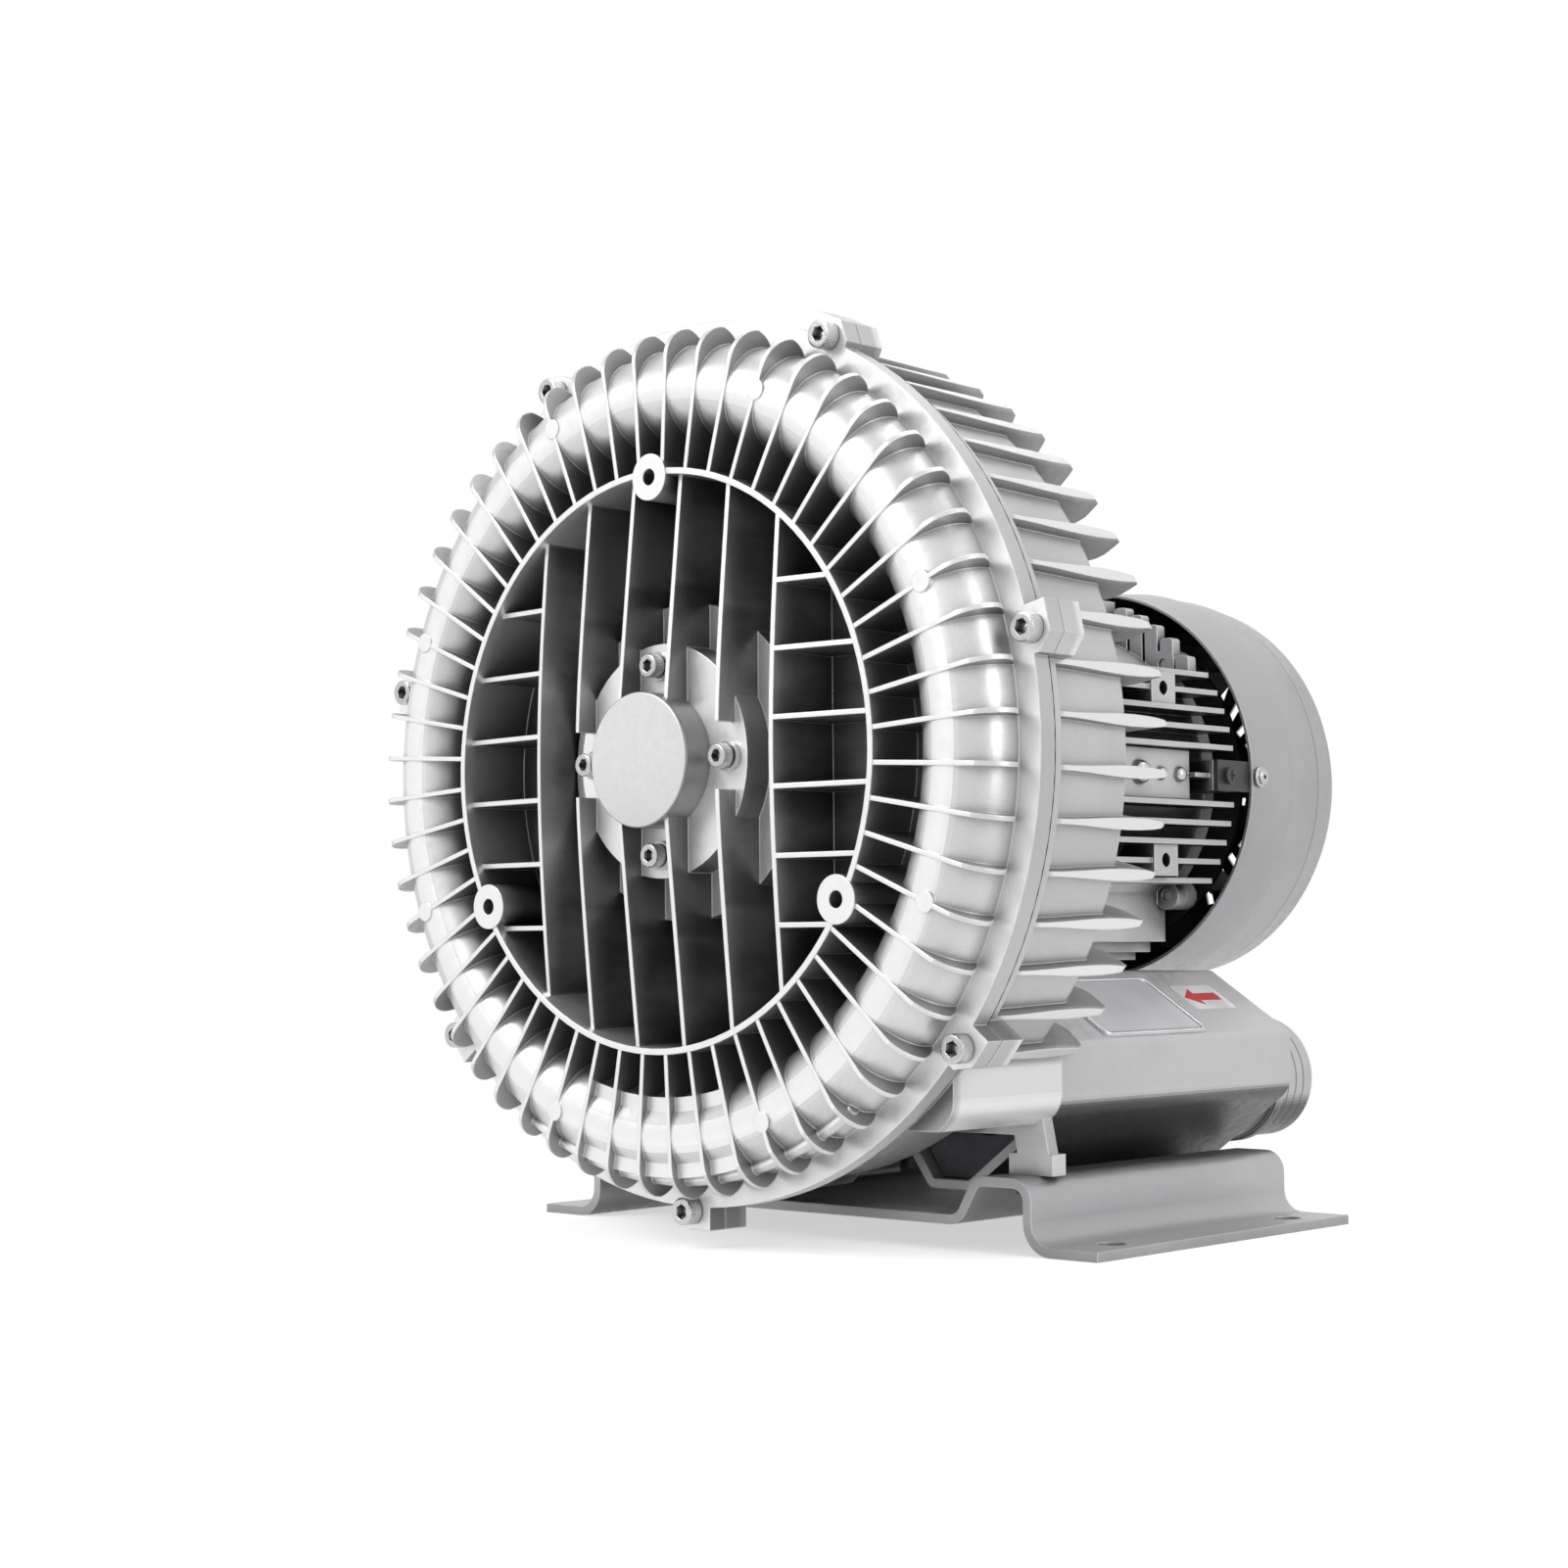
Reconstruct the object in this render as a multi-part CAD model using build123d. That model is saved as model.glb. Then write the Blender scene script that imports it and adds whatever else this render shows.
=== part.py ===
from build123d import *
from math import asin, cos, degrees, radians, sin, sqrt
import os

# A single-stage side channel blower (ring blower) with its motor, two silencers and foot plate.
# Millimetres. The floor is z = 0, +Z is up, the shaft lies along +Y, and the origin is the centre of
# the four foot holes on the floor. Every piece is drawn in the pump's own frame first: y is the
# depth behind the front rim of the cover, and z is the height above the shaft axis.

# ---- where the pump stands on its foot
AXIS_HEIGHT = 196.6
RIM_AHEAD = 173.4          # the front rim lies this far ahead of the foot hole centre

# ---- fits
FIT = 0.02                 # parts that stay together, per side
RUN = 0.05                 # parts that turn in one another, per side
GAP = 0.3                  # loose parts, per side

# ---- side channel and flange joint
CHANNEL_R = 151.0          # middle of the side channel
CHANNEL_BORE = 15.0        # its radius in section
CHANNEL_IN = CHANNEL_R - CHANNEL_BORE
CHANNEL_OUT = CHANNEL_R + CHANNEL_BORE
SKIN = 4.0                 # cast wall
COVER_CHANNEL_DEPTH = 19.5  # centre of the channel's round section in the cover
FLANGE_WIDTH = 14.0
FLANGE_R = CHANNEL_OUT + FLANGE_WIDTH
FLANGE_FRONT = 22.0
COVER_FLANGE = 8.5
GASKET = 0.5
HOUSING_FLANGE = 6.5
SEAM = FLANGE_FRONT + COVER_FLANGE
HOUSING_FRONT = SEAM + GASKET
HOUSING_FLANGE_R = FLANGE_R - 2.4
GASKET_LAND = 2.5          # between the channel and the gasket
SCREW_CLEARANCE = 0.6      # radial room of the clamp screws in gasket and cover

# ---- front cover
VALLEY_WIDTH = 14.0
RIM_R = CHANNEL_IN - SKIN - VALLEY_WIDTH
RIM_WALL = 2.5
FLOOR_FRONT = 34.0
VALLEY_FRONT = 26.0
HUB_R = 47.5
HUB_FRONT = 6.3
HUB_STEP_R = 65.0
HUB_STEP_FRONT = 19.5
HUB_WASHER = 2.6
RIB = 2.0
RIB_PITCH = 26.7
RIB_RISE_HUB = -5.0        # depth of the ribs' front edges at the cap
RIB_RISE_RIM = 4.5         # and at the rim
COVER_FINS = 56
COVER_FIN = 1.9
COVER_FIN_R = FLANGE_R - 4
COVER_FIN_TIP = 12.5       # depth of the fins' outer tips
COVER_FIN_LOBE = 13.0      # radius of the fins' outer shoulder
RIM_BOSS_R = 9.5
RIM_BOSS_PCD = 2 * (RIM_R - 3.2)
RIM_BOSS_FRONT = -0.6
RIM_THREAD_R = 3.4
RIM_THREAD_DEPTH = 16.0
EJECTOR_PAD_R = 4.2
FLOW_BAR_R = 2.5
FLOW_BAR_AT = CHANNEL_R + 17
FLOW_BAR_DEPTH = 9.5
FLOW_BAR_START = 240.0
FLOW_BAR_SWEEP = 66.0
STRIPPER_SWEEP = 32.0

# ---- clamp lugs
LUGS = 7
LUG_FIRST = 270.0
CLAMP_THREAD_R = 3.5
CLAMP_SCREW = 19.0         # length under the head
LUG_SCREW_R = FLANGE_R + 1.4
LUG_OUT = LUG_SCREW_R + 7.6
LUG_IN = FLANGE_R - 12
LUG_HALF = 9.5
LUG_CHAMFER = 6.5
HOUSING_LUG = 12.0

# ---- pump housing
DRUM_R = CHANNEL_OUT + 6.5
DRUM_BACK = 88.0
DRUM_ROUND = 5.0
HOUSING_FIN_FRONT_HALF = 1.3   # half thickness at the flange
HOUSING_FIN_HALF = 2.4     # and where they leave the drum
HOUSING_FIN_BACK = 112.0
WALL_FRONT = 51.0
WALL = 6.0
MOTOR_RING_IN = 70.0
MOTOR_RING_OUT = 79.0
MOTOR_FRONT = 98.0
MOTOR_EAR_PCD_R = 88.0
MOTOR_THREAD_R = 4.0
MOTOR_FLANGE = 8.0
EAR_R = 9.0

# ---- impeller
VANES = 44
VANE = 2.2
VANE_FRONT = 34.0
VANE_BACK = 54.0
IMPELLER_R = CHANNEL_OUT
IMPELLER_TIP_GAP = 1.5
WEB_FRONT = 43.0
WEB = 4.0
IMPELLER_HUB_R = 30.0
IMPELLER_HUB_FRONT = 40.0
IMPELLER_HUB_BACK = 58.0

# ---- shaft and bearings (25 x 52 x 15 deep groove)
BEARING_BORE_R = 12.5
BEARING_OUT_R = 26.0
BEARING_WIDTH = 15.0
BALL_R = 3.97
BALL_PITCH_R = 19.25
BALLS = 9
FRONT_BEARING_AT = 13.0
REAR_BEARING_AT = 284.0
SHAFT_FRONT = 3.0
SHAFT_BACK = 334.0
THREAD_R = 10.0
IMPELLER_SEAT_R = 14.0
SHOULDER_R = 17.0
ROTOR_SEAT_R = 20.0
ROTOR_SEAT_FRONT = 118.0
ROTOR_SEAT_BACK = 270.0
FAN_SEAT_R = 11.0
SLEEVE_R = 16.0
KEY_WIDTH = 8.0
KEY_HEIGHT = 7.0

# ---- bearing cap and its neighbours
CAP_R = 27.4
CAP_FRONT = -7.7
CAP_WALL = 4.0
CAP_SPIGOT_R = 22.0
CAP_SPIGOT = 3.7
HUB_SCREW_R = 38.2
HUB_THREAD_R = 3.0
RETAINER_R = 47.0
RETAINER_FRONT = 30.0
RETAINER_BACK = 36.0
SEAL_SEAT_R = 20.5
REAR_SEAL_R = 23.0

# ---- motor
STATOR_R = 65.0
FRAME_R = 71.0
FRAME_BACK = 286.0
FIN_TIP_R = 88.6
FIN_PITCH = 8.6
FRAME_FIN = 2.4
FRAME_FIN_FRONT = 110.0
FRAME_FIN_BACK = 285.0
FIN_ROWS = 6
TALL_BLOCK = 7.0           # the upright blocks at the rear end of the frame's top
TALL_BLOCK_FRONT = 279.0
ROTOR_R = 41.4
AIR_GAP = 0.5
CORE_FRONT = 135.0
CORE_BACK = 255.0
SLOTS = 24
SLOT_WIDTH = 5.0
SLOT_IN = ROTOR_R + AIR_GAP + 3.1
SLOT_OUT = SLOT_IN + 12
WINDING_HEAD = 20.0
SHIELD = 8.0
SHIELD_SCREW_R = 76.0
SHIELD_THREAD_R = 2.5
SHIELD_SCREW = 14.0        # length under the head
SHIELD_EAR_R = 6.5
PAD_FRONT = 205.0
PAD_BACK = 258.0
PAD_OUT = 82.0
PAD_HALF = 11.0
PIN_R = 1.5
SIDE_LUG_AT = 240.5
SIDE_LUG_HALF = 9.0
SIDE_LUG_Z = 38.5
SIDE_LUG_IN = 57.0
SIDE_LUG_OUT = 81.0
SIDE_LUG_HOLE_R = 3.2
TOP_CLEAR_X = 25.0         # outside this the top fins end at the terminal box

# ---- cooling fan and cowl
FAN_FRONT = 304.0
FAN_BACK = 330.0
FAN_R = 81.0
FAN_BLADES = 9
COWL_FRONT = 293.4
COWL_FRONT_R = 92.2
COWL_CREASE = 322.5
COWL_CREASE_R = 94.7
COWL_BACK = 378.0
COWL_SHEET = 1.5
GRILLE = [(16.0, 34.0, 16), (40.0, 58.0, 30)]  # rows of slots: from radius, to radius, how many
GRILLE_SLOT = 3.6
BRACKET_HALF = 7.0
BRACKET_SHEET = 2.4
BRACKET_FRONT = 268.0
BRACKET_BACK = 310.0
BRACKET_SCREW_AT = BRACKET_FRONT + 8
SHEET_THREAD_R = 2.0       # screws of cowl, brackets, terminal box and ports
COWL_SCREW_AT = 298.7
COWL_SCREW_HEAD_R = 4.7

# ---- terminal box on top of the motor
BOX_X = 86.0
BOX_FRONT = 124.0
BOX_BACK = 220.0
BOX_FOOT_Z = 84.0
BOX_HEIGHT = 30.0
BOX_LID = 8.0
BOX_WALL = 3.0
BOX_GASKET = 1.0
LID_POST_R = 5.6
GLAND_R = 12.0
GLAND_BORE_R = 6.5
GLAND_THREAD_R = 8.0
WIRE_HOLE_R = 9.0

# ---- silencers: outline (x, z) of the right one, which the left one mirrors
FOOT_CREST = 30.0
CREST_TOP = FOOT_CREST - AXIS_HEIGHT
SILENCER_LOW = CREST_TOP - 8.5     # between the foot plate's two crests
SILENCER_OUTLINE = [
    (44.0, -88.0), (84.0, -88.0), (125.0, -115.0), (125.0, -140.0),
    (78.0, SILENCER_LOW), (56.0, SILENCER_LOW), (40.0, -152.0), (40.0, -92.0),
]
SILENCER_ROUND = 5.0
SILENCER_LOW_ROUND = 13.0  # the soft crease above the underside
SCREW_BOSS_R = 7.0
SCREW_BOSS = 6.0
SILENCER_THREAD_R = 2.5
SILENCER_SCREW = 14.0      # length under the head
SILENCER_WALL = 4.0
SILENCER_FRONT = 104.0
SILENCER_BACK = 272.0
DUCT_FRONT = 82.0
DUCT_LOW = -146.0
PORT_X = 82.0
PORT_Z = -137.0
PORT_R = 27.0
PORT_BORE_R = 22.5
PORT_PLATE = 6.0
PORT_BACK = 312.0
PORT_FLANGE_R = 35.0
PORT_SCREW_R = PORT_R + 4.3

# ---- foot plate: one bent sheet
FOOT_HALF = 156.5
FOOT_LENGTH = 180.0
FOOT_SHEET = 4.0
FOOT_STEP_X = 122.6
FOOT_CREST_IN_X = 97.0
FOOT_PAN_X = 88.0
FOOT_PAN_LOW = 10.0
FOOT_BENDS = [11, 7, 6, 8]  # bend radii from the flange inwards
FOOT_HOLE_X = 143.0
FOOT_HOLE_Y = 62.5
FOOT_HOLE_R = 6.0
FRONT_BOLT_X = 110.0
FRONT_BOLT_AT = 102.0
FRONT_BOLT_R = 3.0
FRONT_BOLT = 11.0          # length under the head
BACK_BOLT_X = 67.0
BACK_BOLT_AT = 240.0
BACK_BOLT_R = 3.0
BACK_BOLT = 18.0
FOOT_BOSS_R = 7.5
FOOT_BOSS = 18.0
LEG_TOP = (100.5, 116.5)   # the leg's sides under the duct
LEG_FOOT = (108.5, 124.4)  # and on the foot plate
LEG_PLATE = 6.0
LEG_PAD = 8.5              # height of the pad that takes the bolt
LEG_PAD_BACK = 106.5
ARCH_TOP = -151.0

# ---- name plate and arrows on the silencers
LABEL_LENGTH = 72.0
LABEL_WIDTH = 40.5
LABEL_AT = 174.0
LABEL_DOWN = 1.0           # from the middle of the slope
LABEL_SHEET = 0.8
ARROW_AT = 236.5
ARROW_DOWN = -4.2
ARROW_LENGTH = 25.0
ARROW_SHEET = 0.3


# ------------------------------------------------------------------ drawing helpers

def turned(*points):
    """A solid of revolution about the shaft from (radius, depth) corners."""
    return revolve(make_face(Polyline(*points, close=True)), axis=Axis.Y)


def ring(inner, outer, front, back):
    return turned((inner, front), (outer, front), (outer, back), (inner, back))


def around(shape, angle):
    """Turns a shape about the shaft: 0 degrees is +X, 90 degrees is up."""
    return Rot(0, -angle, 0) * shape


def rod(radius, front, back, x=0.0, z=0.0):
    """A cylinder along the shaft direction."""
    return Pos(x, (front + back) / 2, z) * Rot(90, 0, 0) * Cylinder(radius, back - front)


def post(radius, low, high, x=0.0, depth=0.0):
    """A cylinder along Z."""
    return Pos(x, depth, (low + high) / 2) * Cylinder(radius, high - low)


def block(x0, x1, front, back, low, high):
    middle = Pos((x0 + x1) / 2, (front + back) / 2, (low + high) / 2)
    return middle * Box(x1 - x0, back - front, high - low)


def radial_plate(points, thickness):
    """A flat plate through the shaft axis from (radius, depth) corners."""
    return extrude(make_face(Polyline(*points, close=True)), amount=thickness / 2, both=True)


def prism(points, front, back):
    """(x, z) corners drawn out along the shaft direction."""
    outline = Polyline(*[(x, front, z) for x, z in points], close=True)
    return extrude(make_face(outline), amount=back - front, dir=(0, 1, 0))


def hexagon_along_shaft(across, front, back, x=0.0, z=0.0):
    corner = across / sqrt(3)
    points = [(x + corner * cos(radians(60 * k)), z + corner * sin(radians(60 * k))) for k in range(6)]
    return prism(points, front, back)


def socket_screw(thread_r, length, seat, x=0.0, z=0.0):
    """A socket head cap screw: head towards -Y, its underside at depth seat."""
    head_r = 1.6 * thread_r
    head = 2 * thread_r
    body = rod(head_r, seat - head, seat, x, z) + rod(thread_r, seat, seat + length, x, z)
    return body - hexagon_along_shaft(1.5 * thread_r, seat - head, seat - 0.9 * thread_r, x, z)


def motor_ears(front, back):
    """Four screw ears around the joint of pump housing and motor."""
    ear = rod(EAR_R, front, back, MOTOR_EAR_PCD_R)
    ear += block(MOTOR_RING_OUT - 4, MOTOR_EAR_PCD_R, front, back, -EAR_R, EAR_R)
    return [around(ear, 45 + 90 * k) for k in range(4)]


def fin_angles():
    return [(k + 0.5) * 360 / COVER_FINS for k in range(COVER_FINS)]


def lug_angles():
    return [LUG_FIRST + k * 360 / LUGS for k in range(LUGS)]


def group(shapes):
    """Several separate solids kept as one node."""
    return Compound(children=list(shapes))


# ------------------------------------------------------------------ front cover

def channel_profile(radius, depth, seam):
    """Round-bottomed section of the side channel, open towards the seam."""
    round_part = Pos(CHANNEL_R, depth) * Circle(radius)
    low, high = min(depth, seam), max(depth, seam)
    straight = Pos(CHANNEL_R, (low + high) / 2) * Rectangle(2 * radius, high - low)
    return round_part + straight


def clamp_lug(front, back):
    """One clamp lug with a corner cut off, drawn at 0 degrees."""
    outline = [
        (LUG_IN, -LUG_HALF), (LUG_OUT - LUG_CHAMFER, -LUG_HALF), (LUG_OUT, LUG_CHAMFER - LUG_HALF),
        (LUG_OUT, LUG_HALF), (LUG_IN, LUG_HALF),
    ]
    return prism(outline, front, back)


def cover_fin():
    """A fin that runs out flat over the channel, turns down, and ends in a free tip."""
    low = FLANGE_FRONT + 1
    shoulder = COVER_FIN_R - COVER_FIN_LOBE
    bend = COVER_FIN_LOBE * sqrt(0.5)
    crest = Line((RIM_R - 1, 0.4), (shoulder, 0))
    turn = ThreePointArc(
        (shoulder, 0), (shoulder + bend, COVER_FIN_LOBE - bend), (COVER_FIN_R, COVER_FIN_TIP)
    )
    tip = ThreePointArc(
        (COVER_FIN_R, COVER_FIN_TIP), (COVER_FIN_R - 1, COVER_FIN_TIP + 3), (COVER_FIN_R - 8, low)
    )
    foot = Polyline((COVER_FIN_R - 8, low), (RIM_R - 1, VALLEY_FRONT + 2), (RIM_R - 1, 0.4))
    return extrude(make_face([crest, turn, tip, foot]), amount=COVER_FIN / 2, both=True)


def recess_ribs():
    """Upright ribs across the recess, and short level ribs in the two side pockets."""
    reach = RIM_R - 1
    low = FLOOR_FRONT + 1
    ribs = []
    for k in (0.5, 1.5, 2.5):
        for side in (-1, 1):
            x = side * k * RIB_PITCH
            ribs.append(block(x - RIB / 2, x + RIB / 2, RIB_RISE_HUB - 1, low, -reach, reach))
    pocket = 2.5 * RIB_PITCH
    for k in (-2.5, -1.5, -0.5, 0.5, 1.5, 2.5):
        z = k * RIB_PITCH
        ribs.append(block(pocket, reach, RIB_RISE_HUB - 1, low, z - RIB / 2, z + RIB / 2))
        ribs.append(block(-reach, -pocket, RIB_RISE_HUB - 1, low, z - RIB / 2, z + RIB / 2))
    dome = turned(
        (CAP_R + FIT, RIB_RISE_HUB), (reach, RIB_RISE_RIM), (reach, low), (CAP_R + FIT, low)
    )
    at = 1.5 * RIB_PITCH
    half = RIB_PITCH / 2
    screw_room = [
        block(side * at - 3, side * at + 3, -10, HUB_FRONT, -half, half) for side in (-1, 1)
    ]
    return (Part() + ribs) & dome - (Part() + screw_room)


def hub_bores():
    """The stepped bore for cap spigot and bearing, and the pocket for the retainer behind."""
    return [
        rod(CAP_SPIGOT_R, HUB_FRONT - 1, FRONT_BEARING_AT),
        rod(BEARING_OUT_R + FIT, FRONT_BEARING_AT - 2, RETAINER_FRONT + 1),
        rod(RETAINER_R + GAP, RETAINER_FRONT, FLOOR_FRONT + SKIN + 1),
    ]


def front_cover():
    wall_back = FLOOR_FRONT + SKIN
    floor = ring(HUB_R - 2, RIM_R, FLOOR_FRONT, wall_back)
    rim = ring(RIM_R - RIM_WALL, RIM_R, 0, wall_back)
    valley = ring(RIM_R - RIM_WALL, CHANNEL_IN, VALLEY_FRONT, VALLEY_FRONT + SKIN)
    flange = ring(CHANNEL_OUT + 1, FLANGE_R, FLANGE_FRONT, SEAM)
    skin = revolve(channel_profile(CHANNEL_BORE + SKIN, COVER_CHANNEL_DEPTH, SEAM), axis=Axis.Y)
    skin &= ring(CHANNEL_IN - SKIN - 1, CHANNEL_OUT + SKIN + 1, -10, SEAM)
    fins = [around(cover_fin(), angle) for angle in fin_angles()]
    lugs = [around(clamp_lug(FLANGE_FRONT, SEAM), angle) for angle in lug_angles()]
    pads = [around(rod(EJECTOR_PAD_R, 0, 8, CHANNEL_R + 3), 22.5 + 45 * k) for k in range(8)]
    bar_circle = Pos(FLOW_BAR_AT, FLOW_BAR_DEPTH) * Circle(FLOW_BAR_R)
    bar = around(revolve(bar_circle, axis=Axis.Y, revolution_arc=-FLOW_BAR_SWEEP), FLOW_BAR_START)
    bosses = [
        around(rod(RIM_BOSS_R, RIM_BOSS_FRONT, wall_back, RIM_BOSS_PCD / 2), 90 + 120 * k) for k in range(3)
    ]
    body = skin + [floor, rim, valley, flange]
    body = body + (fins + lugs + pads + [bar])
    hub = ring(0, HUB_R, HUB_FRONT, wall_back) + ring(0, HUB_STEP_R, HUB_STEP_FRONT, wall_back)
    body = body + [recess_ribs(), hub] + bosses
    body -= revolve(channel_profile(CHANNEL_BORE, COVER_CHANNEL_DEPTH, SEAM + 1), axis=Axis.Y)
    body += stripper(COVER_CHANNEL_DEPTH - CHANNEL_BORE - 1, SEAM)
    cuts = hub_bores()
    clear = rod(CLAMP_THREAD_R + SCREW_CLEARANCE, FLANGE_FRONT - 1, SEAM + 1, LUG_SCREW_R)
    head_room = rod(CLAMP_THREAD_R + 2.8, 0, FLANGE_FRONT, LUG_SCREW_R)
    cuts += [around(cut, angle) for angle in lug_angles() for cut in (clear, head_room)]
    hub_clear = rod(HUB_THREAD_R + GAP, 0, RETAINER_FRONT + 1, HUB_SCREW_R)
    hub_head_room = rod(HUB_THREAD_R + 3.4, -10, HUB_FRONT, HUB_SCREW_R)
    cuts += [around(cut, 90 * k) for k in range(4) for cut in (hub_clear, hub_head_room)]
    thread_end = RIM_BOSS_FRONT + RIM_THREAD_DEPTH
    thread = rod(RIM_THREAD_R, RIM_BOSS_FRONT - 1, thread_end, RIM_BOSS_PCD / 2)
    cuts += [around(thread, 90 + 120 * k) for k in range(3)]
    return body - cuts


def stripper(front, back):
    """The bridge across the channel at the bottom, which parts the two ports."""
    outline = Pos(CHANNEL_R, (front + back) / 2) * Rectangle(2 * CHANNEL_BORE + 2, back - front)
    bridge = revolve(outline, axis=Axis.Y, revolution_arc=-STRIPPER_SWEEP)
    return around(bridge, 270 - STRIPPER_SWEEP / 2)


def cover_gasket():
    body = ring(CHANNEL_OUT + GASKET_LAND, FLANGE_R, SEAM, HOUSING_FRONT)
    hole = rod(CLAMP_THREAD_R + SCREW_CLEARANCE, SEAM - 1, SEAM + 2, LUG_SCREW_R)
    return body - [around(hole, angle) for angle in lug_angles()]


def cover_screws():
    screw = socket_screw(CLAMP_THREAD_R, CLAMP_SCREW, FLANGE_FRONT, LUG_SCREW_R)
    return group(around(screw, angle) for angle in lug_angles())


# ------------------------------------------------------------------ pump housing

def is_outline_corner(edge):
    """Whether an edge along the shaft direction still stands on a corner of the outline."""
    at = edge.center()
    return any(abs(at.X - x) < 0.01 and abs(at.Z - z) < 0.01 for x, z in SILENCER_OUTLINE)


def silencer_solid(front, back, inset=0.0):
    outline = make_face(Polyline(*[(x, front, z) for x, z in SILENCER_OUTLINE], close=True))
    body = extrude(outline, amount=back - front, dir=(0, 1, 0))
    edges = body.edges().filter_by(Axis.Y).sort_by(lambda edge: edge.center().X - edge.center().Z)
    body = fillet(edges[-1], SILENCER_LOW_ROUND)
    sharp = [edge for edge in body.edges().filter_by(Axis.Y) if is_outline_corner(edge)]
    body = fillet(sharp, SILENCER_ROUND)
    if inset > 0:
        face = offset(body.faces().sort_by(Axis.Y)[0], amount=-inset)
        body = extrude(face, amount=back - front, dir=(0, 1, 0))
    return body


def both_sides(shape):
    return [shape, mirror(shape, about=Plane.YZ)]


def housing_fin(back):
    """A fin with a free rear end, which swells from the flange and ends in a spear point."""
    side = extrude(
        make_face(Polyline(
            (DRUM_R - 2, HOUSING_FRONT), (HOUSING_FLANGE_R - 0.2, HOUSING_FRONT),
            (COVER_FIN_R, back - 6), (COVER_FIN_R - 2.5, back - 1), (COVER_FIN_R - 6, back),
            (COVER_FIN_R - 11, back - 0.5), (COVER_FIN_R - 14, back - 4),
            (COVER_FIN_R - 21, DRUM_BACK - 2), (DRUM_R - 2, DRUM_BACK - 8), close=True,
        )),
        amount=HOUSING_FIN_HALF + 1, both=True,
    )
    half, front = HOUSING_FIN_HALF, HOUSING_FIN_FRONT_HALF
    right = [(half, DRUM_BACK - 4), (0.83 * half, back - 13), (0.42 * half, back - 4)]
    left = [(-across, depth) for across, depth in reversed(right)]
    edge = Spline((front, HOUSING_FRONT), *right, (0, back), *left, (-front, HOUSING_FRONT))
    plan = make_face([edge, Line((-front, HOUSING_FRONT), (front, HOUSING_FRONT))])
    spear = Pos(COVER_FIN_R - 30, 0, 0) * Rot(0, 90, 0) * extrude(plan, amount=40)
    return side & spear


def housing_fins():
    """All the way round, apart from the room of the two ducts below."""
    fin = housing_fin(HOUSING_FIN_BACK)
    from_below = [abs(angle - 270) for angle in fin_angles()]
    return [around(fin, angle) for angle, off in zip(fin_angles(), from_below) if off > 45 or off < 8]


def foot_leg():
    """The plate behind each duct: a leg with its bolt pad on the foot, and the bar above the arch."""
    front = SILENCER_FRONT - LEG_PLATE
    leg = prism(
        [(LEG_TOP[0], -128), (LEG_TOP[1], -128), (LEG_FOOT[1], CREST_TOP), (LEG_FOOT[0], CREST_TOP)],
        front, SILENCER_FRONT,
    )
    pad = block(LEG_FOOT[0] - 6, LEG_FOOT[1], front, LEG_PAD_BACK, CREST_TOP, CREST_TOP + LEG_PAD)
    bar = block(50, LEG_FOOT[0], front, SILENCER_FRONT, ARCH_TOP, DUCT_LOW + 1)
    return leg + [pad, bar]


def duct_shoulder():
    """The duct's outer wall where it runs forward, outside the drum, to the flange."""
    front, back = HOUSING_FRONT + HOUSING_FLANGE - 1, DUCT_FRONT + 6
    kept = block(60, 200, front, back, DUCT_LOW, 0)
    return (silencer_solid(front, back) & kept) - rod(DRUM_R - 2, front - 1, back + 1)


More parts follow.
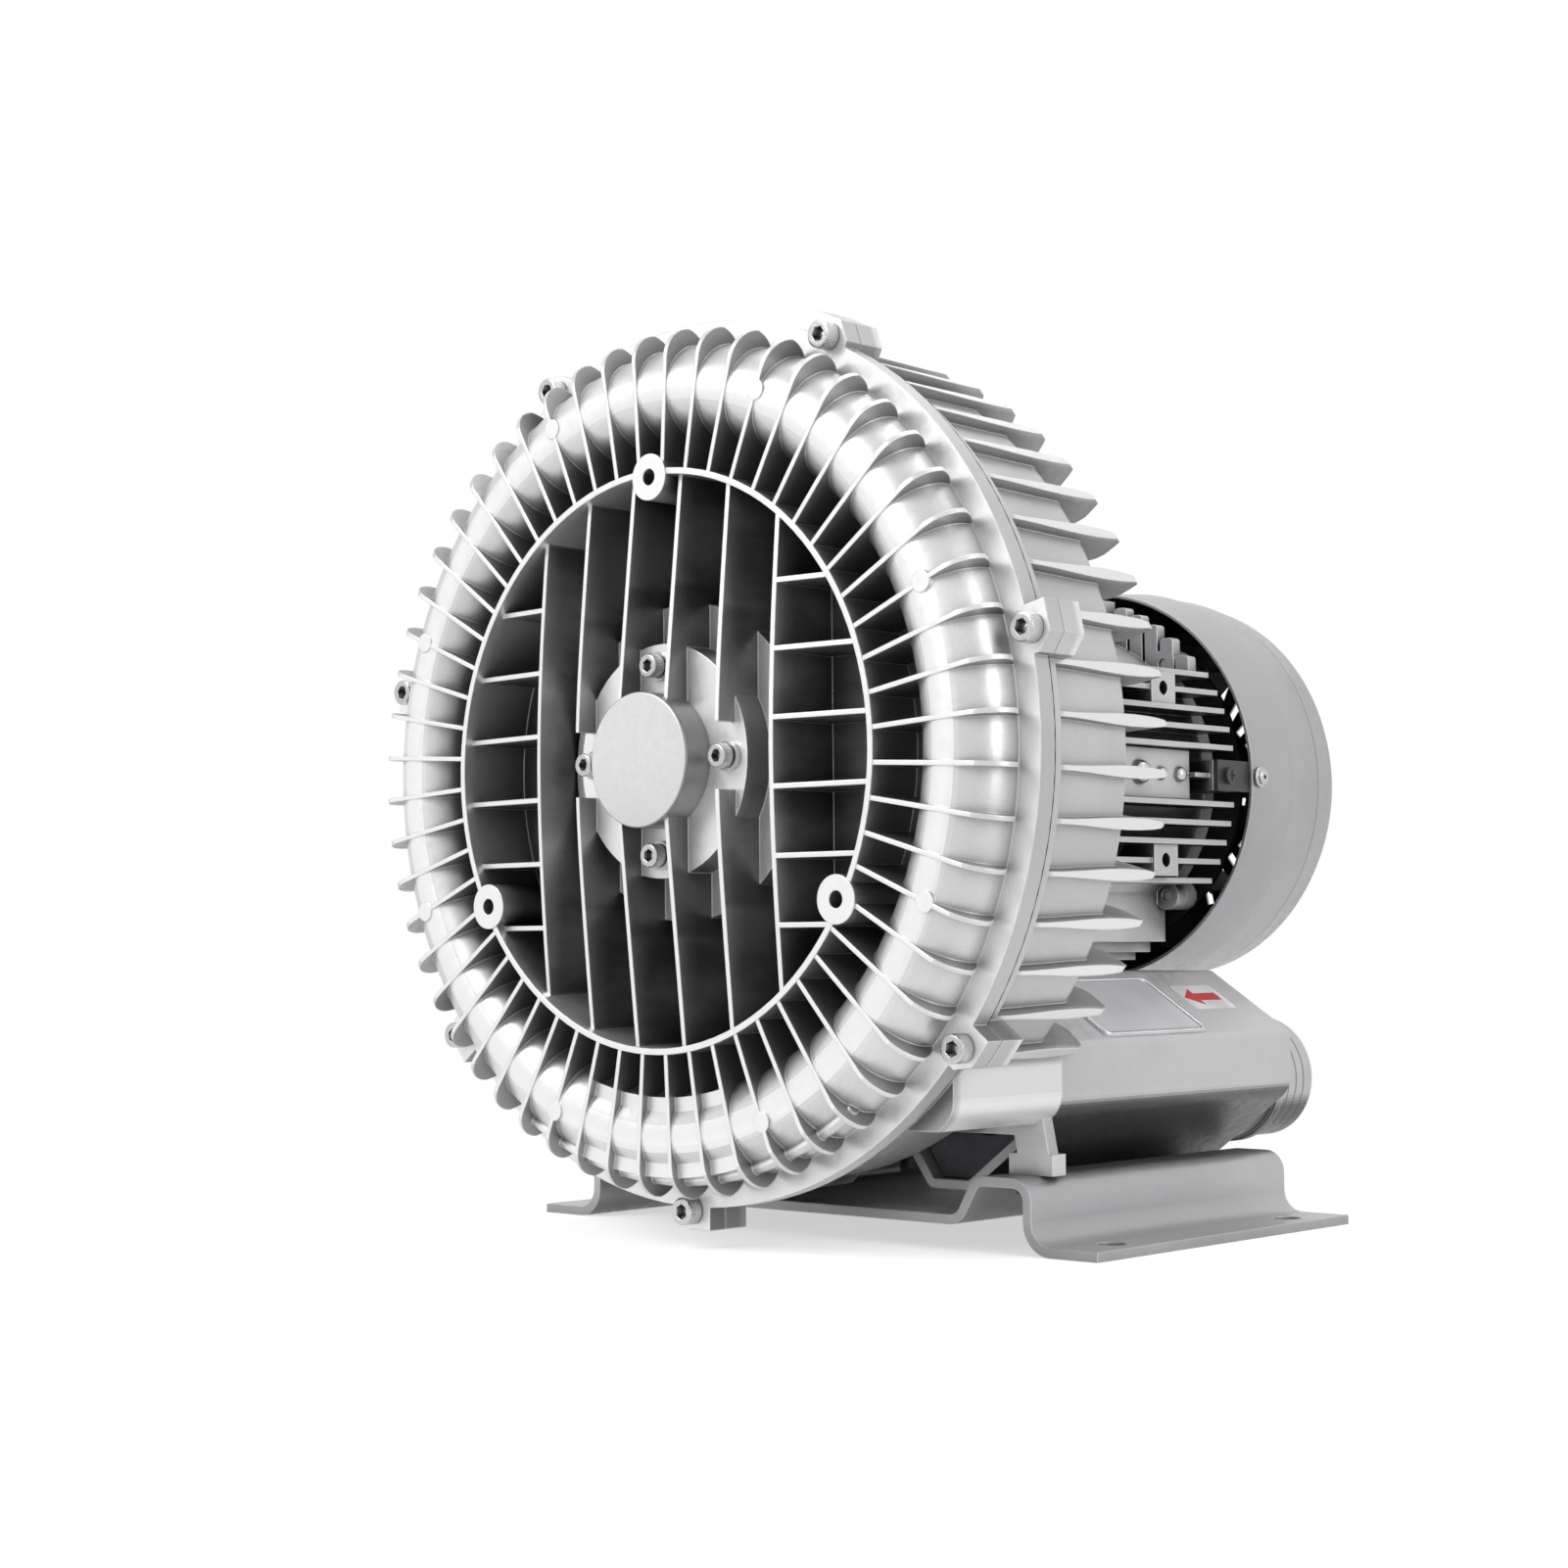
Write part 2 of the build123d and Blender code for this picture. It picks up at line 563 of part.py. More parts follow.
def pump_housing():
    ring_body = ring(CHANNEL_IN - 12, DRUM_R, HOUSING_FRONT, DRUM_BACK)
    rear_rim = ring_body.edges().filter_by(GeomType.CIRCLE).sort_by(Axis.Y)[-2:]
    ring_body = fillet(rear_rim, DRUM_ROUND)
    flange = ring(DRUM_R - 2, HOUSING_FLANGE_R, HOUSING_FRONT, HOUSING_FRONT + HOUSING_FLANGE)
    lug_back = HOUSING_FRONT + HOUSING_LUG
    lugs = [around(clamp_lug(HOUSING_FRONT, lug_back), angle) for angle in lug_angles()]
    wall = ring(34, CHANNEL_IN - 5, WALL_FRONT, WALL_FRONT + WALL)
    pocket = ring(34, 42, WALL_FRONT, 68) + ring(REAR_SEAL_R, 42, 62, 68)
    motor_ring = ring(MOTOR_RING_IN, MOTOR_RING_OUT, WALL_FRONT + WALL - 1, MOTOR_FRONT)
    ears = motor_ears(WALL_FRONT + WALL - 1, MOTOR_FRONT)
    duct = silencer_solid(DUCT_FRONT, SILENCER_FRONT) & block(0, 200, 0, 200, DUCT_LOW, 0)
    ducts = both_sides(duct) + both_sides(foot_leg()) + both_sides(duct_shoulder())
    body = ring_body + [flange, wall, pocket, motor_ring]
    body = body + housing_fins()
    body = body + (lugs + ears + ducts)
    chamber_r = IMPELLER_R + IMPELLER_TIP_GAP
    body -= ring(0, chamber_r, HOUSING_FRONT - 1, WALL_FRONT)
    body -= ring(CHANNEL_IN - 5, chamber_r, WALL_FRONT - 1, WALL_FRONT + WALL)
    rear_channel = revolve(
        channel_profile(CHANNEL_BORE, DRUM_BACK - SKIN - CHANNEL_BORE, WALL_FRONT), axis=Axis.Y
    )
    body -= rear_channel
    body += stripper(WALL_FRONT + WALL, DRUM_BACK - SKIN + 1)
    hollow = silencer_solid(DUCT_FRONT + 8, SILENCER_FRONT + 1, SILENCER_WALL)
    hollow &= block(0, 200, 0, 200, DUCT_LOW + SILENCER_WALL, 0)
    mouth = block(68, 98, DRUM_BACK - SKIN - 14, DUCT_FRONT + 9, -140, -112)
    cuts = both_sides(hollow) + both_sides(mouth)
    boss_front = DUCT_FRONT + 6
    duct_bosses = [
        rod(SCREW_BOSS_R, boss_front, SILENCER_FRONT, x, z) & duct for x, z in right_silencer_screws()
    ]
    clamp_hole = rod(CLAMP_THREAD_R + FIT, HOUSING_FRONT - 1, lug_back + 1, LUG_SCREW_R)
    cuts += [around(clamp_hole, angle) for angle in lug_angles()]
    motor_hole = rod(MOTOR_THREAD_R + FIT, MOTOR_FRONT - 20, MOTOR_FRONT + 1, MOTOR_EAR_PCD_R)
    cuts += [around(motor_hole, 45 + 90 * k) for k in range(4)]
    bolt_hole = post(FRONT_BOLT_R + FIT, CREST_TOP - 1, CREST_TOP + FRONT_BOLT, FRONT_BOLT_X,
                     FRONT_BOLT_AT)
    cuts += both_sides(bolt_hole)
    holes = [rod(REAR_SEAL_R, 60, 70)]
    hole_front = SILENCER_FRONT - SILENCER_SCREW
    holes += [
        rod(SILENCER_THREAD_R + FIT, hole_front, SILENCER_FRONT + 1, x, z)
        for x, z in silencer_screw_places()
    ]
    body -= cuts
    body += [piece for boss in duct_bosses for piece in both_sides(boss)]
    return body - holes


def right_silencer_screws():
    return [(50, -98), (116.5, -129), (49, -138)]


def silencer_screw_places():
    """Where each silencer is screwed to its duct, right and left."""
    right = right_silencer_screws()
    return right + [(-x, z) for x, z in right]


# ------------------------------------------------------------------ bearing cap, seals and bearings

def bearing_cap():
    body = ring(0, CAP_R, CAP_FRONT, HUB_FRONT)
    front_rim = body.edges().filter_by(GeomType.CIRCLE).sort_by(Axis.Y)[0]
    body = fillet(front_rim, 1.0)
    body += ring(0, CAP_SPIGOT_R - FIT, HUB_FRONT - 1, HUB_FRONT + CAP_SPIGOT)
    return body - ring(0, CAP_SPIGOT_R - 3.5, CAP_FRONT + CAP_WALL, HUB_FRONT + CAP_SPIGOT + 1)


def hub_washers():
    front = HUB_FRONT - HUB_WASHER
    washer = rod(2 * HUB_THREAD_R - 0.1, front, HUB_FRONT, HUB_SCREW_R)
    washer -= rod(HUB_THREAD_R + GAP, front - 1, HUB_FRONT + 1, HUB_SCREW_R)
    return group(around(washer, 90 * k) for k in range(4))


def hub_screws():
    seat = HUB_FRONT - HUB_WASHER
    reach = RETAINER_BACK - 1 - seat
    screw = socket_screw(HUB_THREAD_R, reach, seat, HUB_SCREW_R)
    return group(around(screw, 90 * k) for k in range(4))


def bearing_retainer():
    body = ring(SEAL_SEAT_R, RETAINER_R, RETAINER_FRONT, RETAINER_BACK)
    body += ring(SEAL_SEAT_R, BEARING_OUT_R - FIT, FRONT_BEARING_AT + BEARING_WIDTH, RETAINER_FRONT + 1)
    hole = rod(HUB_THREAD_R + FIT, RETAINER_FRONT - 1, RETAINER_BACK + 1, HUB_SCREW_R)
    return body - [around(hole, 90 * k) for k in range(4)]


def front_shaft_seal():
    back = RETAINER_BACK - 0.5
    return turned(
        (SLEEVE_R + RUN, back - 4), (SEAL_SEAT_R - FIT, back - 6), (SEAL_SEAT_R - FIT, back),
        (SLEEVE_R + 2, back), (SLEEVE_R + 2, back - 2), (SLEEVE_R + RUN, back - 3),
    )


def rear_shaft_seal():
    front = 61.5
    return turned(
        (SHOULDER_R + RUN, front + 3), (SHOULDER_R + 2, front), (REAR_SEAL_R - FIT, front),
        (REAR_SEAL_R - FIT, front + 6), (SHOULDER_R + 2, front + 6), (SHOULDER_R + RUN, front + 4),
    )


def wave_spring():
    front = FRONT_BEARING_AT - 2 + FIT
    return ring(BEARING_OUT_R - 4.5, BEARING_OUT_R - GAP, front, FRONT_BEARING_AT - FIT)


def ball_groove(front):
    middle = front + BEARING_WIDTH / 2
    return revolve(Pos(BALL_PITCH_R, middle) * Circle(BALL_R + RUN), axis=Axis.Y)


def bearing_outer(front):
    body = ring(BALL_PITCH_R + 2.6, BEARING_OUT_R, front, front + BEARING_WIDTH)
    return body - ball_groove(front)


def bearing_inner(front):
    body = ring(BEARING_BORE_R + FIT, BALL_PITCH_R - 2.6, front, front + BEARING_WIDTH)
    return body - ball_groove(front)


def bearing_balls(front):
    middle = front + BEARING_WIDTH / 2
    ball = Pos(BALL_PITCH_R, middle, 0) * Sphere(BALL_R)
    return group(around(ball, 360 * k / BALLS) for k in range(BALLS))


def bearing_cage(front):
    middle = front + BEARING_WIDTH / 2
    body = ring(BALL_PITCH_R - 1.2, BALL_PITCH_R + 1.2, middle - 5, middle + 5)
    pocket = Pos(BALL_PITCH_R, middle, 0) * Rot(0, 90, 0) * Cylinder(BALL_R + RUN, 6)
    return body - [around(pocket, 360 * k / BALLS) for k in range(BALLS)]


# ------------------------------------------------------------------ rotating parts

def shaft():
    steps = [
        (0, SHAFT_FRONT), (THREAD_R, SHAFT_FRONT), (THREAD_R, FRONT_BEARING_AT),
        (BEARING_BORE_R, FRONT_BEARING_AT), (BEARING_BORE_R, IMPELLER_HUB_FRONT),
        (IMPELLER_SEAT_R, IMPELLER_HUB_FRONT), (IMPELLER_SEAT_R, IMPELLER_HUB_BACK),
        (SHOULDER_R, IMPELLER_HUB_BACK), (SHOULDER_R, ROTOR_SEAT_FRONT),
        (ROTOR_SEAT_R, ROTOR_SEAT_FRONT), (ROTOR_SEAT_R, ROTOR_SEAT_BACK),
        (SHOULDER_R, ROTOR_SEAT_BACK), (SHOULDER_R, REAR_BEARING_AT),
        (BEARING_BORE_R, REAR_BEARING_AT), (BEARING_BORE_R, REAR_BEARING_AT + BEARING_WIDTH),
        (FAN_SEAT_R, REAR_BEARING_AT + BEARING_WIDTH), (FAN_SEAT_R, SHAFT_BACK), (0, SHAFT_BACK),
    ]
    body = turned(*steps)
    keyway_low = IMPELLER_SEAT_R - KEY_HEIGHT / 2 - FIT
    body -= block(-KEY_WIDTH / 2, KEY_WIDTH / 2, IMPELLER_HUB_FRONT + 1, IMPELLER_HUB_BACK - 1,
                  keyway_low, IMPELLER_SEAT_R + 2)
    groove_front = FAN_BACK + FIT
    return body - ring(FAN_SEAT_R - 1, FAN_SEAT_R + 1, groove_front, groove_front + 1.6)


def impeller_key():
    low = IMPELLER_SEAT_R - KEY_HEIGHT / 2
    return block(-KEY_WIDTH / 2 + FIT, KEY_WIDTH / 2 - FIT, IMPELLER_HUB_FRONT + 1 + FIT,
                 IMPELLER_HUB_BACK - 1 - FIT, low, low + KEY_HEIGHT)


def spacer_sleeve():
    return ring(BEARING_BORE_R + FIT, SLEEVE_R, FRONT_BEARING_AT + BEARING_WIDTH, IMPELLER_HUB_FRONT)


def lock_washer():
    return ring(THREAD_R + FIT, 15.5, FRONT_BEARING_AT - 1.2, FRONT_BEARING_AT)


def shaft_nut():
    back = FRONT_BEARING_AT - 1.2
    body = hexagon_along_shaft(29, back - 6.5, back)
    return body - rod(THREAD_R + FIT, back - 8, back + 1)


def impeller():
    inner_rim = CHANNEL_IN
    hub_body = ring(IMPELLER_SEAT_R + FIT, IMPELLER_HUB_R, IMPELLER_HUB_FRONT, IMPELLER_HUB_BACK)
    web = ring(IMPELLER_HUB_R - 1, inner_rim, WEB_FRONT, WEB_FRONT + WEB)
    rim = ring(inner_rim - 4, inner_rim, VANE_FRONT, VANE_BACK)
    divider = ring(inner_rim - 1, IMPELLER_R, WEB_FRONT, WEB_FRONT + 3)
    vane = radial_plate(
        [(inner_rim - 1, VANE_FRONT), (IMPELLER_R, VANE_FRONT), (IMPELLER_R, VANE_BACK),
         (inner_rim - 1, VANE_BACK)],
        VANE,
    )
    vanes = [around(vane, (k + 0.5) * 360 / VANES) for k in range(VANES)]
    body = hub_body + [web, rim, divider]
    body = body + vanes
    vents = [around(rod(9, WEB_FRONT - 1, WEB_FRONT + WEB + 1, 80), 60 * k) for k in range(6)]
    keyway = block(-KEY_WIDTH / 2, KEY_WIDTH / 2, 30, 70, 0, IMPELLER_SEAT_R + KEY_HEIGHT / 2 + GAP)
    return body - vents - keyway


def rotor_core():
    core = ring(ROTOR_SEAT_R + FIT, ROTOR_R, CORE_FRONT, CORE_BACK)
    ends = [ring(29, ROTOR_R - 0.5, CORE_FRONT - 9, CORE_FRONT + 1),
            ring(29, ROTOR_R - 0.5, CORE_BACK - 1, CORE_BACK + 9)]
    return core + ends


def cooling_fan():
    hub_body = ring(FAN_SEAT_R + FIT, 19, FAN_FRONT, FAN_BACK)
    disc = ring(18, FAN_R - 5, FAN_FRONT + 4, FAN_FRONT + 6.5)
    blade = radial_plate(
        [(18, FAN_FRONT + 5), (50, FAN_FRONT + 3), (FAN_R, FAN_FRONT), (FAN_R, FAN_BACK - 2),
         (55, FAN_BACK), (18, FAN_BACK)], 2.5
    )
    return hub_body + ([disc] + [around(blade, 360 * k / FAN_BLADES) for k in range(FAN_BLADES)])


def fan_clip():
    front = FAN_BACK + FIT
    body = ring(FAN_SEAT_R - 1 + FIT, FAN_SEAT_R + 3.5, front + FIT, front + 1.5)
    return body - block(-3, 3, front - 1, front + 3, 0, 20)


# ------------------------------------------------------------------ motor

def frame_fin(height):
    """A level cooling fin on the right side at a height, out to the round envelope."""
    out = sqrt(FIN_TIP_R ** 2 - height ** 2)
    inner = sqrt((FRAME_R - 1) ** 2 - height ** 2)
    return block(inner, out, FRAME_FIN_FRONT, FRAME_FIN_BACK,
                 height - FRAME_FIN / 2, height + FRAME_FIN / 2)


def tall_blocks():
    """Upright blocks beside the terminal box, parted by thin slots, at the rear end of the frame."""
    low = (FIN_ROWS - 0.5) * FIN_PITCH - FRAME_FIN / 2
    blocks = []
    for k in (3.5, 4.5, 5.5, 6.5, 7.5):
        x = k * FIN_PITCH
        x0, x1 = x - TALL_BLOCK / 2, x + TALL_BLOCK / 2
        high = sqrt(FIN_TIP_R ** 2 - x1 ** 2)
        body = block(x0, x1, TALL_BLOCK_FRONT, FRAME_FIN_BACK, low, high)
        top_edges = body.faces().sort_by(Axis.Z)[-1].edges().filter_by(Axis.Y)
        blocks.append(fillet(top_edges, 2))
    return [side for body in blocks for side in both_sides(body)]


def motor_frame():
    heights = [side * (k + 0.5) * FIN_PITCH for k in range(FIN_ROWS) for side in (-1, 1)]
    right = Part() + [frame_fin(height) for height in heights]
    tube = ring(STATOR_R, FRAME_R, MOTOR_FRONT, FRAME_BACK)
    flange = ring(STATOR_R, MOTOR_RING_OUT, MOTOR_FRONT, MOTOR_FRONT + MOTOR_FLANGE)
    ears = motor_ears(MOTOR_FRONT, MOTOR_FRONT + MOTOR_FLANGE)
    end_boss = rod(SHIELD_EAR_R, TALL_BLOCK_FRONT, FRAME_BACK, SHIELD_SCREW_R)
    end_bosses = [around(end_boss, 45 + 90 * k) for k in range(4)]
    name_pad = block(FRAME_R - 4, PAD_OUT, PAD_FRONT, PAD_BACK, -PAD_HALF, PAD_HALF)
    pad_rib = block(FRAME_R - 1, PAD_OUT + 4, PAD_BACK - 1, BRACKET_FRONT + 1, -1, 1)
    lug_front, lug_back = SIDE_LUG_AT - SIDE_LUG_HALF, SIDE_LUG_AT + SIDE_LUG_HALF
    side_lugs = [
        block(SIDE_LUG_IN, SIDE_LUG_OUT, lug_front, lug_back, z - 7, z + 7)
        for z in (-SIDE_LUG_Z, SIDE_LUG_Z)
    ]
    bracket_seat = block(FRAME_R - 4, bracket_low(), BRACKET_FRONT, FRAME_BACK, -BRACKET_HALF, BRACKET_HALF)
    box_seat = block(-38, 38, BOX_FRONT + 4, BOX_BACK - 4, 50, BOX_FOOT_Z)
    body = tube + [around(right, 90 * k) for k in range(4)]
    above = (FIN_ROWS - 0.5) * FIN_PITCH + FRAME_FIN / 2
    top_room = block(TOP_CLEAR_X, FIN_TIP_R, BOX_BACK - 4, FRAME_FIN_BACK + 1, above, FIN_TIP_R + 1)
    body -= both_sides(top_room - ring(0, FRAME_R - 0.5, BOX_BACK - 5, FRAME_FIN_BACK + 2))
    body -= block(FRAME_R, FIN_TIP_R + 1, PAD_FRONT - 4, FRAME_FIN_BACK + 1, -FIN_PITCH, FIN_PITCH)
    body = body + ([flange] + ears + end_bosses + [name_pad, pad_rib] + side_lugs + [box_seat])
    body = body + [around(bracket_seat, 90 * k) for k in range(4)]
    body = body + tall_blocks()
    body -= ring(0, STATOR_R, MOTOR_FRONT - 1, FRAME_BACK + 1)
    ear_back = MOTOR_FRONT + MOTOR_FLANGE
    quarter_cuts = [
        rod(MOTOR_THREAD_R + GAP, MOTOR_FRONT - 1, ear_back + 1, MOTOR_EAR_PCD_R),
        rod(MOTOR_THREAD_R + 2.6, ear_back, ear_back + 12, MOTOR_EAR_PCD_R),
        rod(SHIELD_THREAD_R + FIT, TALL_BLOCK_FRONT - 1, FRAME_BACK + 1, SHIELD_SCREW_R),
    ]
    cuts = [around(cut, 45 + 90 * k) for k in range(4) for cut in quarter_cuts]
    lug_hole = Rot(0, 90, 0) * Cylinder(SIDE_LUG_HOLE_R, 16)
    cuts += [Pos(SIDE_LUG_OUT, SIDE_LUG_AT, z) * lug_hole for z in (-SIDE_LUG_Z, SIDE_LUG_Z)]
    sheet_hole = Rot(0, 90, 0) * Cylinder(SHEET_THREAD_R + FIT, 20)
    cuts += [around(Pos(bracket_low(), BRACKET_SCREW_AT, 0) * sheet_hole, 90 * k) for k in range(4)]
    pin_hole = Rot(0, 90, 0) * Cylinder(PIN_R + FIT, 12)
    cuts += [Pos(PAD_OUT, depth, 0) * pin_hole for depth in pad_rivet_depths()]
    foot_hole_low = BOX_FOOT_Z - 10
    cuts += [
        post(SHEET_THREAD_R + FIT, foot_hole_low, BOX_FOOT_Z + 1, x, depth)
        for x, depth in box_screw_places()
    ]
    cuts += [post(WIRE_HOLE_R, 40, BOX_FOOT_Z + 1, 0, (BOX_FRONT + BOX_BACK) / 2)]
    cuts += [
        around(block(bracket_low(), FIN_TIP_R + 2, BRACKET_FRONT - 1, FRAME_BACK + 1,
                     -BRACKET_HALF - 0.5, BRACKET_HALF + 0.5), 90 * k)
        for k in range(4)
    ]
    cuts += [block(-BOX_X / 2 - 1, BOX_X / 2 + 1, BOX_FRONT - 1, BOX_BACK + 1, BOX_FOOT_Z, FIN_TIP_R + 1)]
    return body - cuts


def pad_rivet_depths():
    return [PAD_FRONT + 14.4, PAD_FRONT + 30.6, PAD_FRONT + 44.7]


def pad_rivets():
    """Three round-headed pins on the flat pad at the motor's side, the first one larger."""
    pins = []
    for depth, head_r in zip(pad_rivet_depths(), (5.6, 3.2, 3.6)):
        head = Sphere(head_r) & Pos(0, 0, head_r) * Box(2 * head_r, 2 * head_r, 2 * head_r)
        pin = Pos(0, 0, -2.4) * Cylinder(PIN_R, 5) + head
        pins.append(Pos(PAD_OUT, depth, 0) * Rot(0, 90, 0) * pin)
    return group(pins)


def motor_screws():
    """Screws through the motor's front ears into the pump housing, heads towards the fan."""
    seat = MOTOR_FRONT + MOTOR_FLANGE
    screw = Pos(0, 2 * seat, 0) * Rot(0, 0, 180) * socket_screw(MOTOR_THREAD_R, 25, seat)
    placed = Pos(MOTOR_EAR_PCD_R, 0, 0) * screw
    return group(around(placed, 45 + 90 * k) for k in range(4))


def stator_slot(room):
    """One slot of the core, or the copper in it when it keeps some room from the walls."""
    half = SLOT_WIDTH / 2 - room
    return block(SLOT_IN + 2 * room, SLOT_OUT - 2 * room, CORE_FRONT - 1, CORE_BACK + 1, -half, half)


def stator_core():
    body = ring(ROTOR_R + AIR_GAP, STATOR_R - FIT, CORE_FRONT, CORE_BACK)
    return body - [around(stator_slot(0), 360 * k / SLOTS) for k in range(SLOTS)]


def stator_windings():
    front = ring(SLOT_IN, SLOT_OUT + 1, CORE_FRONT - WINDING_HEAD, CORE_FRONT - 1)
    back = ring(SLOT_IN, SLOT_OUT + 1, CORE_BACK + 1, CORE_BACK + WINDING_HEAD)
    front = fillet(front.edges().filter_by(GeomType.CIRCLE).sort_by(Axis.Y)[:2], 4)
    back = fillet(back.edges().filter_by(GeomType.CIRCLE).sort_by(Axis.Y)[-2:], 4)
    bars = [around(stator_slot(0.1), 360 * k / SLOTS) for k in range(SLOTS)]
    return front + [back] + bars


def rear_end_shield():
    back = FRAME_BACK + SHIELD
    body = ring(BEARING_OUT_R, FRAME_R, FRAME_BACK, back)
    body += [
        ring(STATOR_R - 6, STATOR_R - FIT, FRAME_BACK - 4, FRAME_BACK + 1),
        ring(BEARING_OUT_R, BEARING_OUT_R + 7, REAR_BEARING_AT - 2, REAR_BEARING_AT + BEARING_WIDTH + 3),
        ring(SHOULDER_R + 3, BEARING_OUT_R + 2, REAR_BEARING_AT + BEARING_WIDTH + FIT,
             REAR_BEARING_AT + BEARING_WIDTH + 3),
    ]
    body += [around(rod(SHIELD_EAR_R, FRAME_BACK, back, SHIELD_SCREW_R), 45 + 90 * k) for k in range(4)]
    body -= rod(BEARING_OUT_R + FIT, REAR_BEARING_AT - 5, REAR_BEARING_AT + BEARING_WIDTH + FIT)
    hole = rod(SHIELD_THREAD_R + GAP, FRAME_BACK - 1, back + 1, SHIELD_SCREW_R)
    return body - [around(hole, 45 + 90 * k) for k in range(4)]


def shield_screws():
    seat = FRAME_BACK + SHIELD
    screw = Pos(0, 2 * seat, 0) * Rot(0, 0, 180) * socket_screw(SHIELD_THREAD_R, SHIELD_SCREW, seat)
    return group(around(Pos(SHIELD_SCREW_R, 0, 0) * screw, 45 + 90 * k) for k in range(4))


def cowl_solid(inset):
    """The cowl's outer form, or the hollow inside it when inset by the sheet."""
    front = COWL_FRONT - (1 if inset else 0)
    return turned(
        (0, front), (COWL_FRONT_R - inset, front), (COWL_CREASE_R - inset, COWL_CREASE),
        (COWL_CREASE_R - 0.7 - inset, COWL_CREASE + 0.8),
        (COWL_CREASE_R - 1.0 - inset, COWL_CREASE + 24), (91.6 - inset, COWL_BACK - 16),
        (87.0 - inset, COWL_BACK - 8), (81.0 - inset, COWL_BACK - 2.6 - inset / 2),
        (75 - inset, COWL_BACK - inset), (0, COWL_BACK - inset),
    )


def cowl_radius(depth):
    share = (depth - COWL_FRONT) / (COWL_CREASE - COWL_FRONT)
    return COWL_FRONT_R + share * (COWL_CREASE_R - COWL_FRONT_R)


def bracket_high():
    """The outside of the brackets, just under the cowl's front edge."""
    return COWL_FRONT_R - COWL_SHEET - 0.2


def bracket_low():
    return bracket_high() - BRACKET_SHEET


def fan_cowl():
    body = cowl_solid(0) - cowl_solid(COWL_SHEET)
    slots = []
    for inner, outer, count in GRILLE:
        slot = block(inner, outer, COWL_BACK - 6, COWL_BACK + 2, -GRILLE_SLOT / 2, GRILLE_SLOT / 2)
        slots += [around(slot, 360 * (k + 0.5) / count) for k in range(count)]
    hole = Pos(COWL_CREASE_R, COWL_SCREW_AT, 0) * Rot(0, 90, 0) * Cylinder(SHEET_THREAD_R + GAP, 20)
    return body - (slots + [around(hole, 90 * k) for k in range(4)])


def cowl_brackets():
    plate = block(bracket_low(), bracket_high(), BRACKET_FRONT, BRACKET_BACK, -BRACKET_HALF, BRACKET_HALF)
    hole = Rot(0, 90, 0) * Cylinder(SHEET_THREAD_R + FIT, 20)
    holes = [Pos(bracket_low(), depth, 0) * hole for depth in (BRACKET_SCREW_AT, COWL_SCREW_AT)]
    return group(around(plate - holes, 90 * k) for k in range(4))


def pan_screw(thread_r, length, head_r, head):
    """A pan head screw pointing down -Z with its seat at z = 0."""
    body = Pos(0, 0, -length / 2) * Cylinder(thread_r, length) + Pos(0, 0, head / 2) * Cylinder(head_r, head)
    cross = Box(head_r * 1.2, 0.9, 1.6) + Box(0.9, head_r * 1.2, 1.6)
    return body - Pos(0, 0, head) * cross


def cowl_screws():
    seat = cowl_radius(COWL_SCREW_AT + COWL_SCREW_HEAD_R) + RUN
    screw = pan_screw(SHEET_THREAD_R, 9, COWL_SCREW_HEAD_R, 2.8)
    outward = Pos(seat, COWL_SCREW_AT, 0) * Rot(0, 90, 0) * screw
    return group(around(outward, 90 * k) for k in range(4))


def bracket_screws():
    screw = pan_screw(SHEET_THREAD_R, 11, 3.8, 2.4)
    outward = Pos(bracket_high(), BRACKET_SCREW_AT, 0) * Rot(0, 90, 0) * screw
    return group(around(outward, 90 * k) for k in range(4))


# ------------------------------------------------------------------ terminal box

def box_screw_places():
    return [(x, depth) for x in (-22, 22) for depth in (BOX_FRONT + 14, BOX_BACK - 14)]


def box_outline(low, high, inset=0.0):
    body = block(-BOX_X / 2 + inset, BOX_X / 2 - inset, BOX_FRONT + inset, BOX_BACK - inset, low, high)
    return fillet(body.edges().filter_by(Axis.Z), 8 - inset)


def terminal_box():
    top = BOX_FOOT_Z + BOX_HEIGHT
    body = box_outline(BOX_FOOT_Z, top) - box_outline(BOX_FOOT_Z + BOX_WALL, top + 1, BOX_WALL)
    posts = [post(LID_POST_R, BOX_FOOT_Z + 1, top, x, depth) for x, depth in lid_screw_places()]
    inside = BOX_WALL - BOX_X / 2
    boss = Pos(inside + 1, gland_depth(), gland_height()) * Rot(0, 90, 0) * Cylinder(GLAND_R, 3)
    body = body + (posts + [boss])
    thread_r, clear_r = SHEET_THREAD_R + FIT, SHEET_THREAD_R + GAP
    floor_top = BOX_FOOT_Z + BOX_WALL + 1
    cuts = [post(thread_r, top - 16, top + 1, x, depth) for x, depth in lid_screw_places()]
    cuts += [post(clear_r, BOX_FOOT_Z - 1, floor_top, x, depth) for x, depth in box_screw_places()]
    cuts += [post(WIRE_HOLE_R, BOX_FOOT_Z - 1, floor_top, 0, (BOX_FRONT + BOX_BACK) / 2)]
    gland_hole = Rot(0, 90, 0) * Cylinder(GLAND_THREAD_R + FIT, 20)
    cuts += [Pos(-BOX_X / 2, gland_depth(), gland_height()) * gland_hole]
    return body - cuts


def gland_depth():
    return (BOX_FRONT + BOX_BACK) / 2 + 18


def gland_height():
    return BOX_FOOT_Z + BOX_HEIGHT / 2 + 1


def lid_screw_places():
    inset = 8.0
    return [(x, depth) for x in (inset - BOX_X / 2, BOX_X / 2 - inset)
            for depth in (BOX_FRONT + inset, BOX_BACK - inset)]


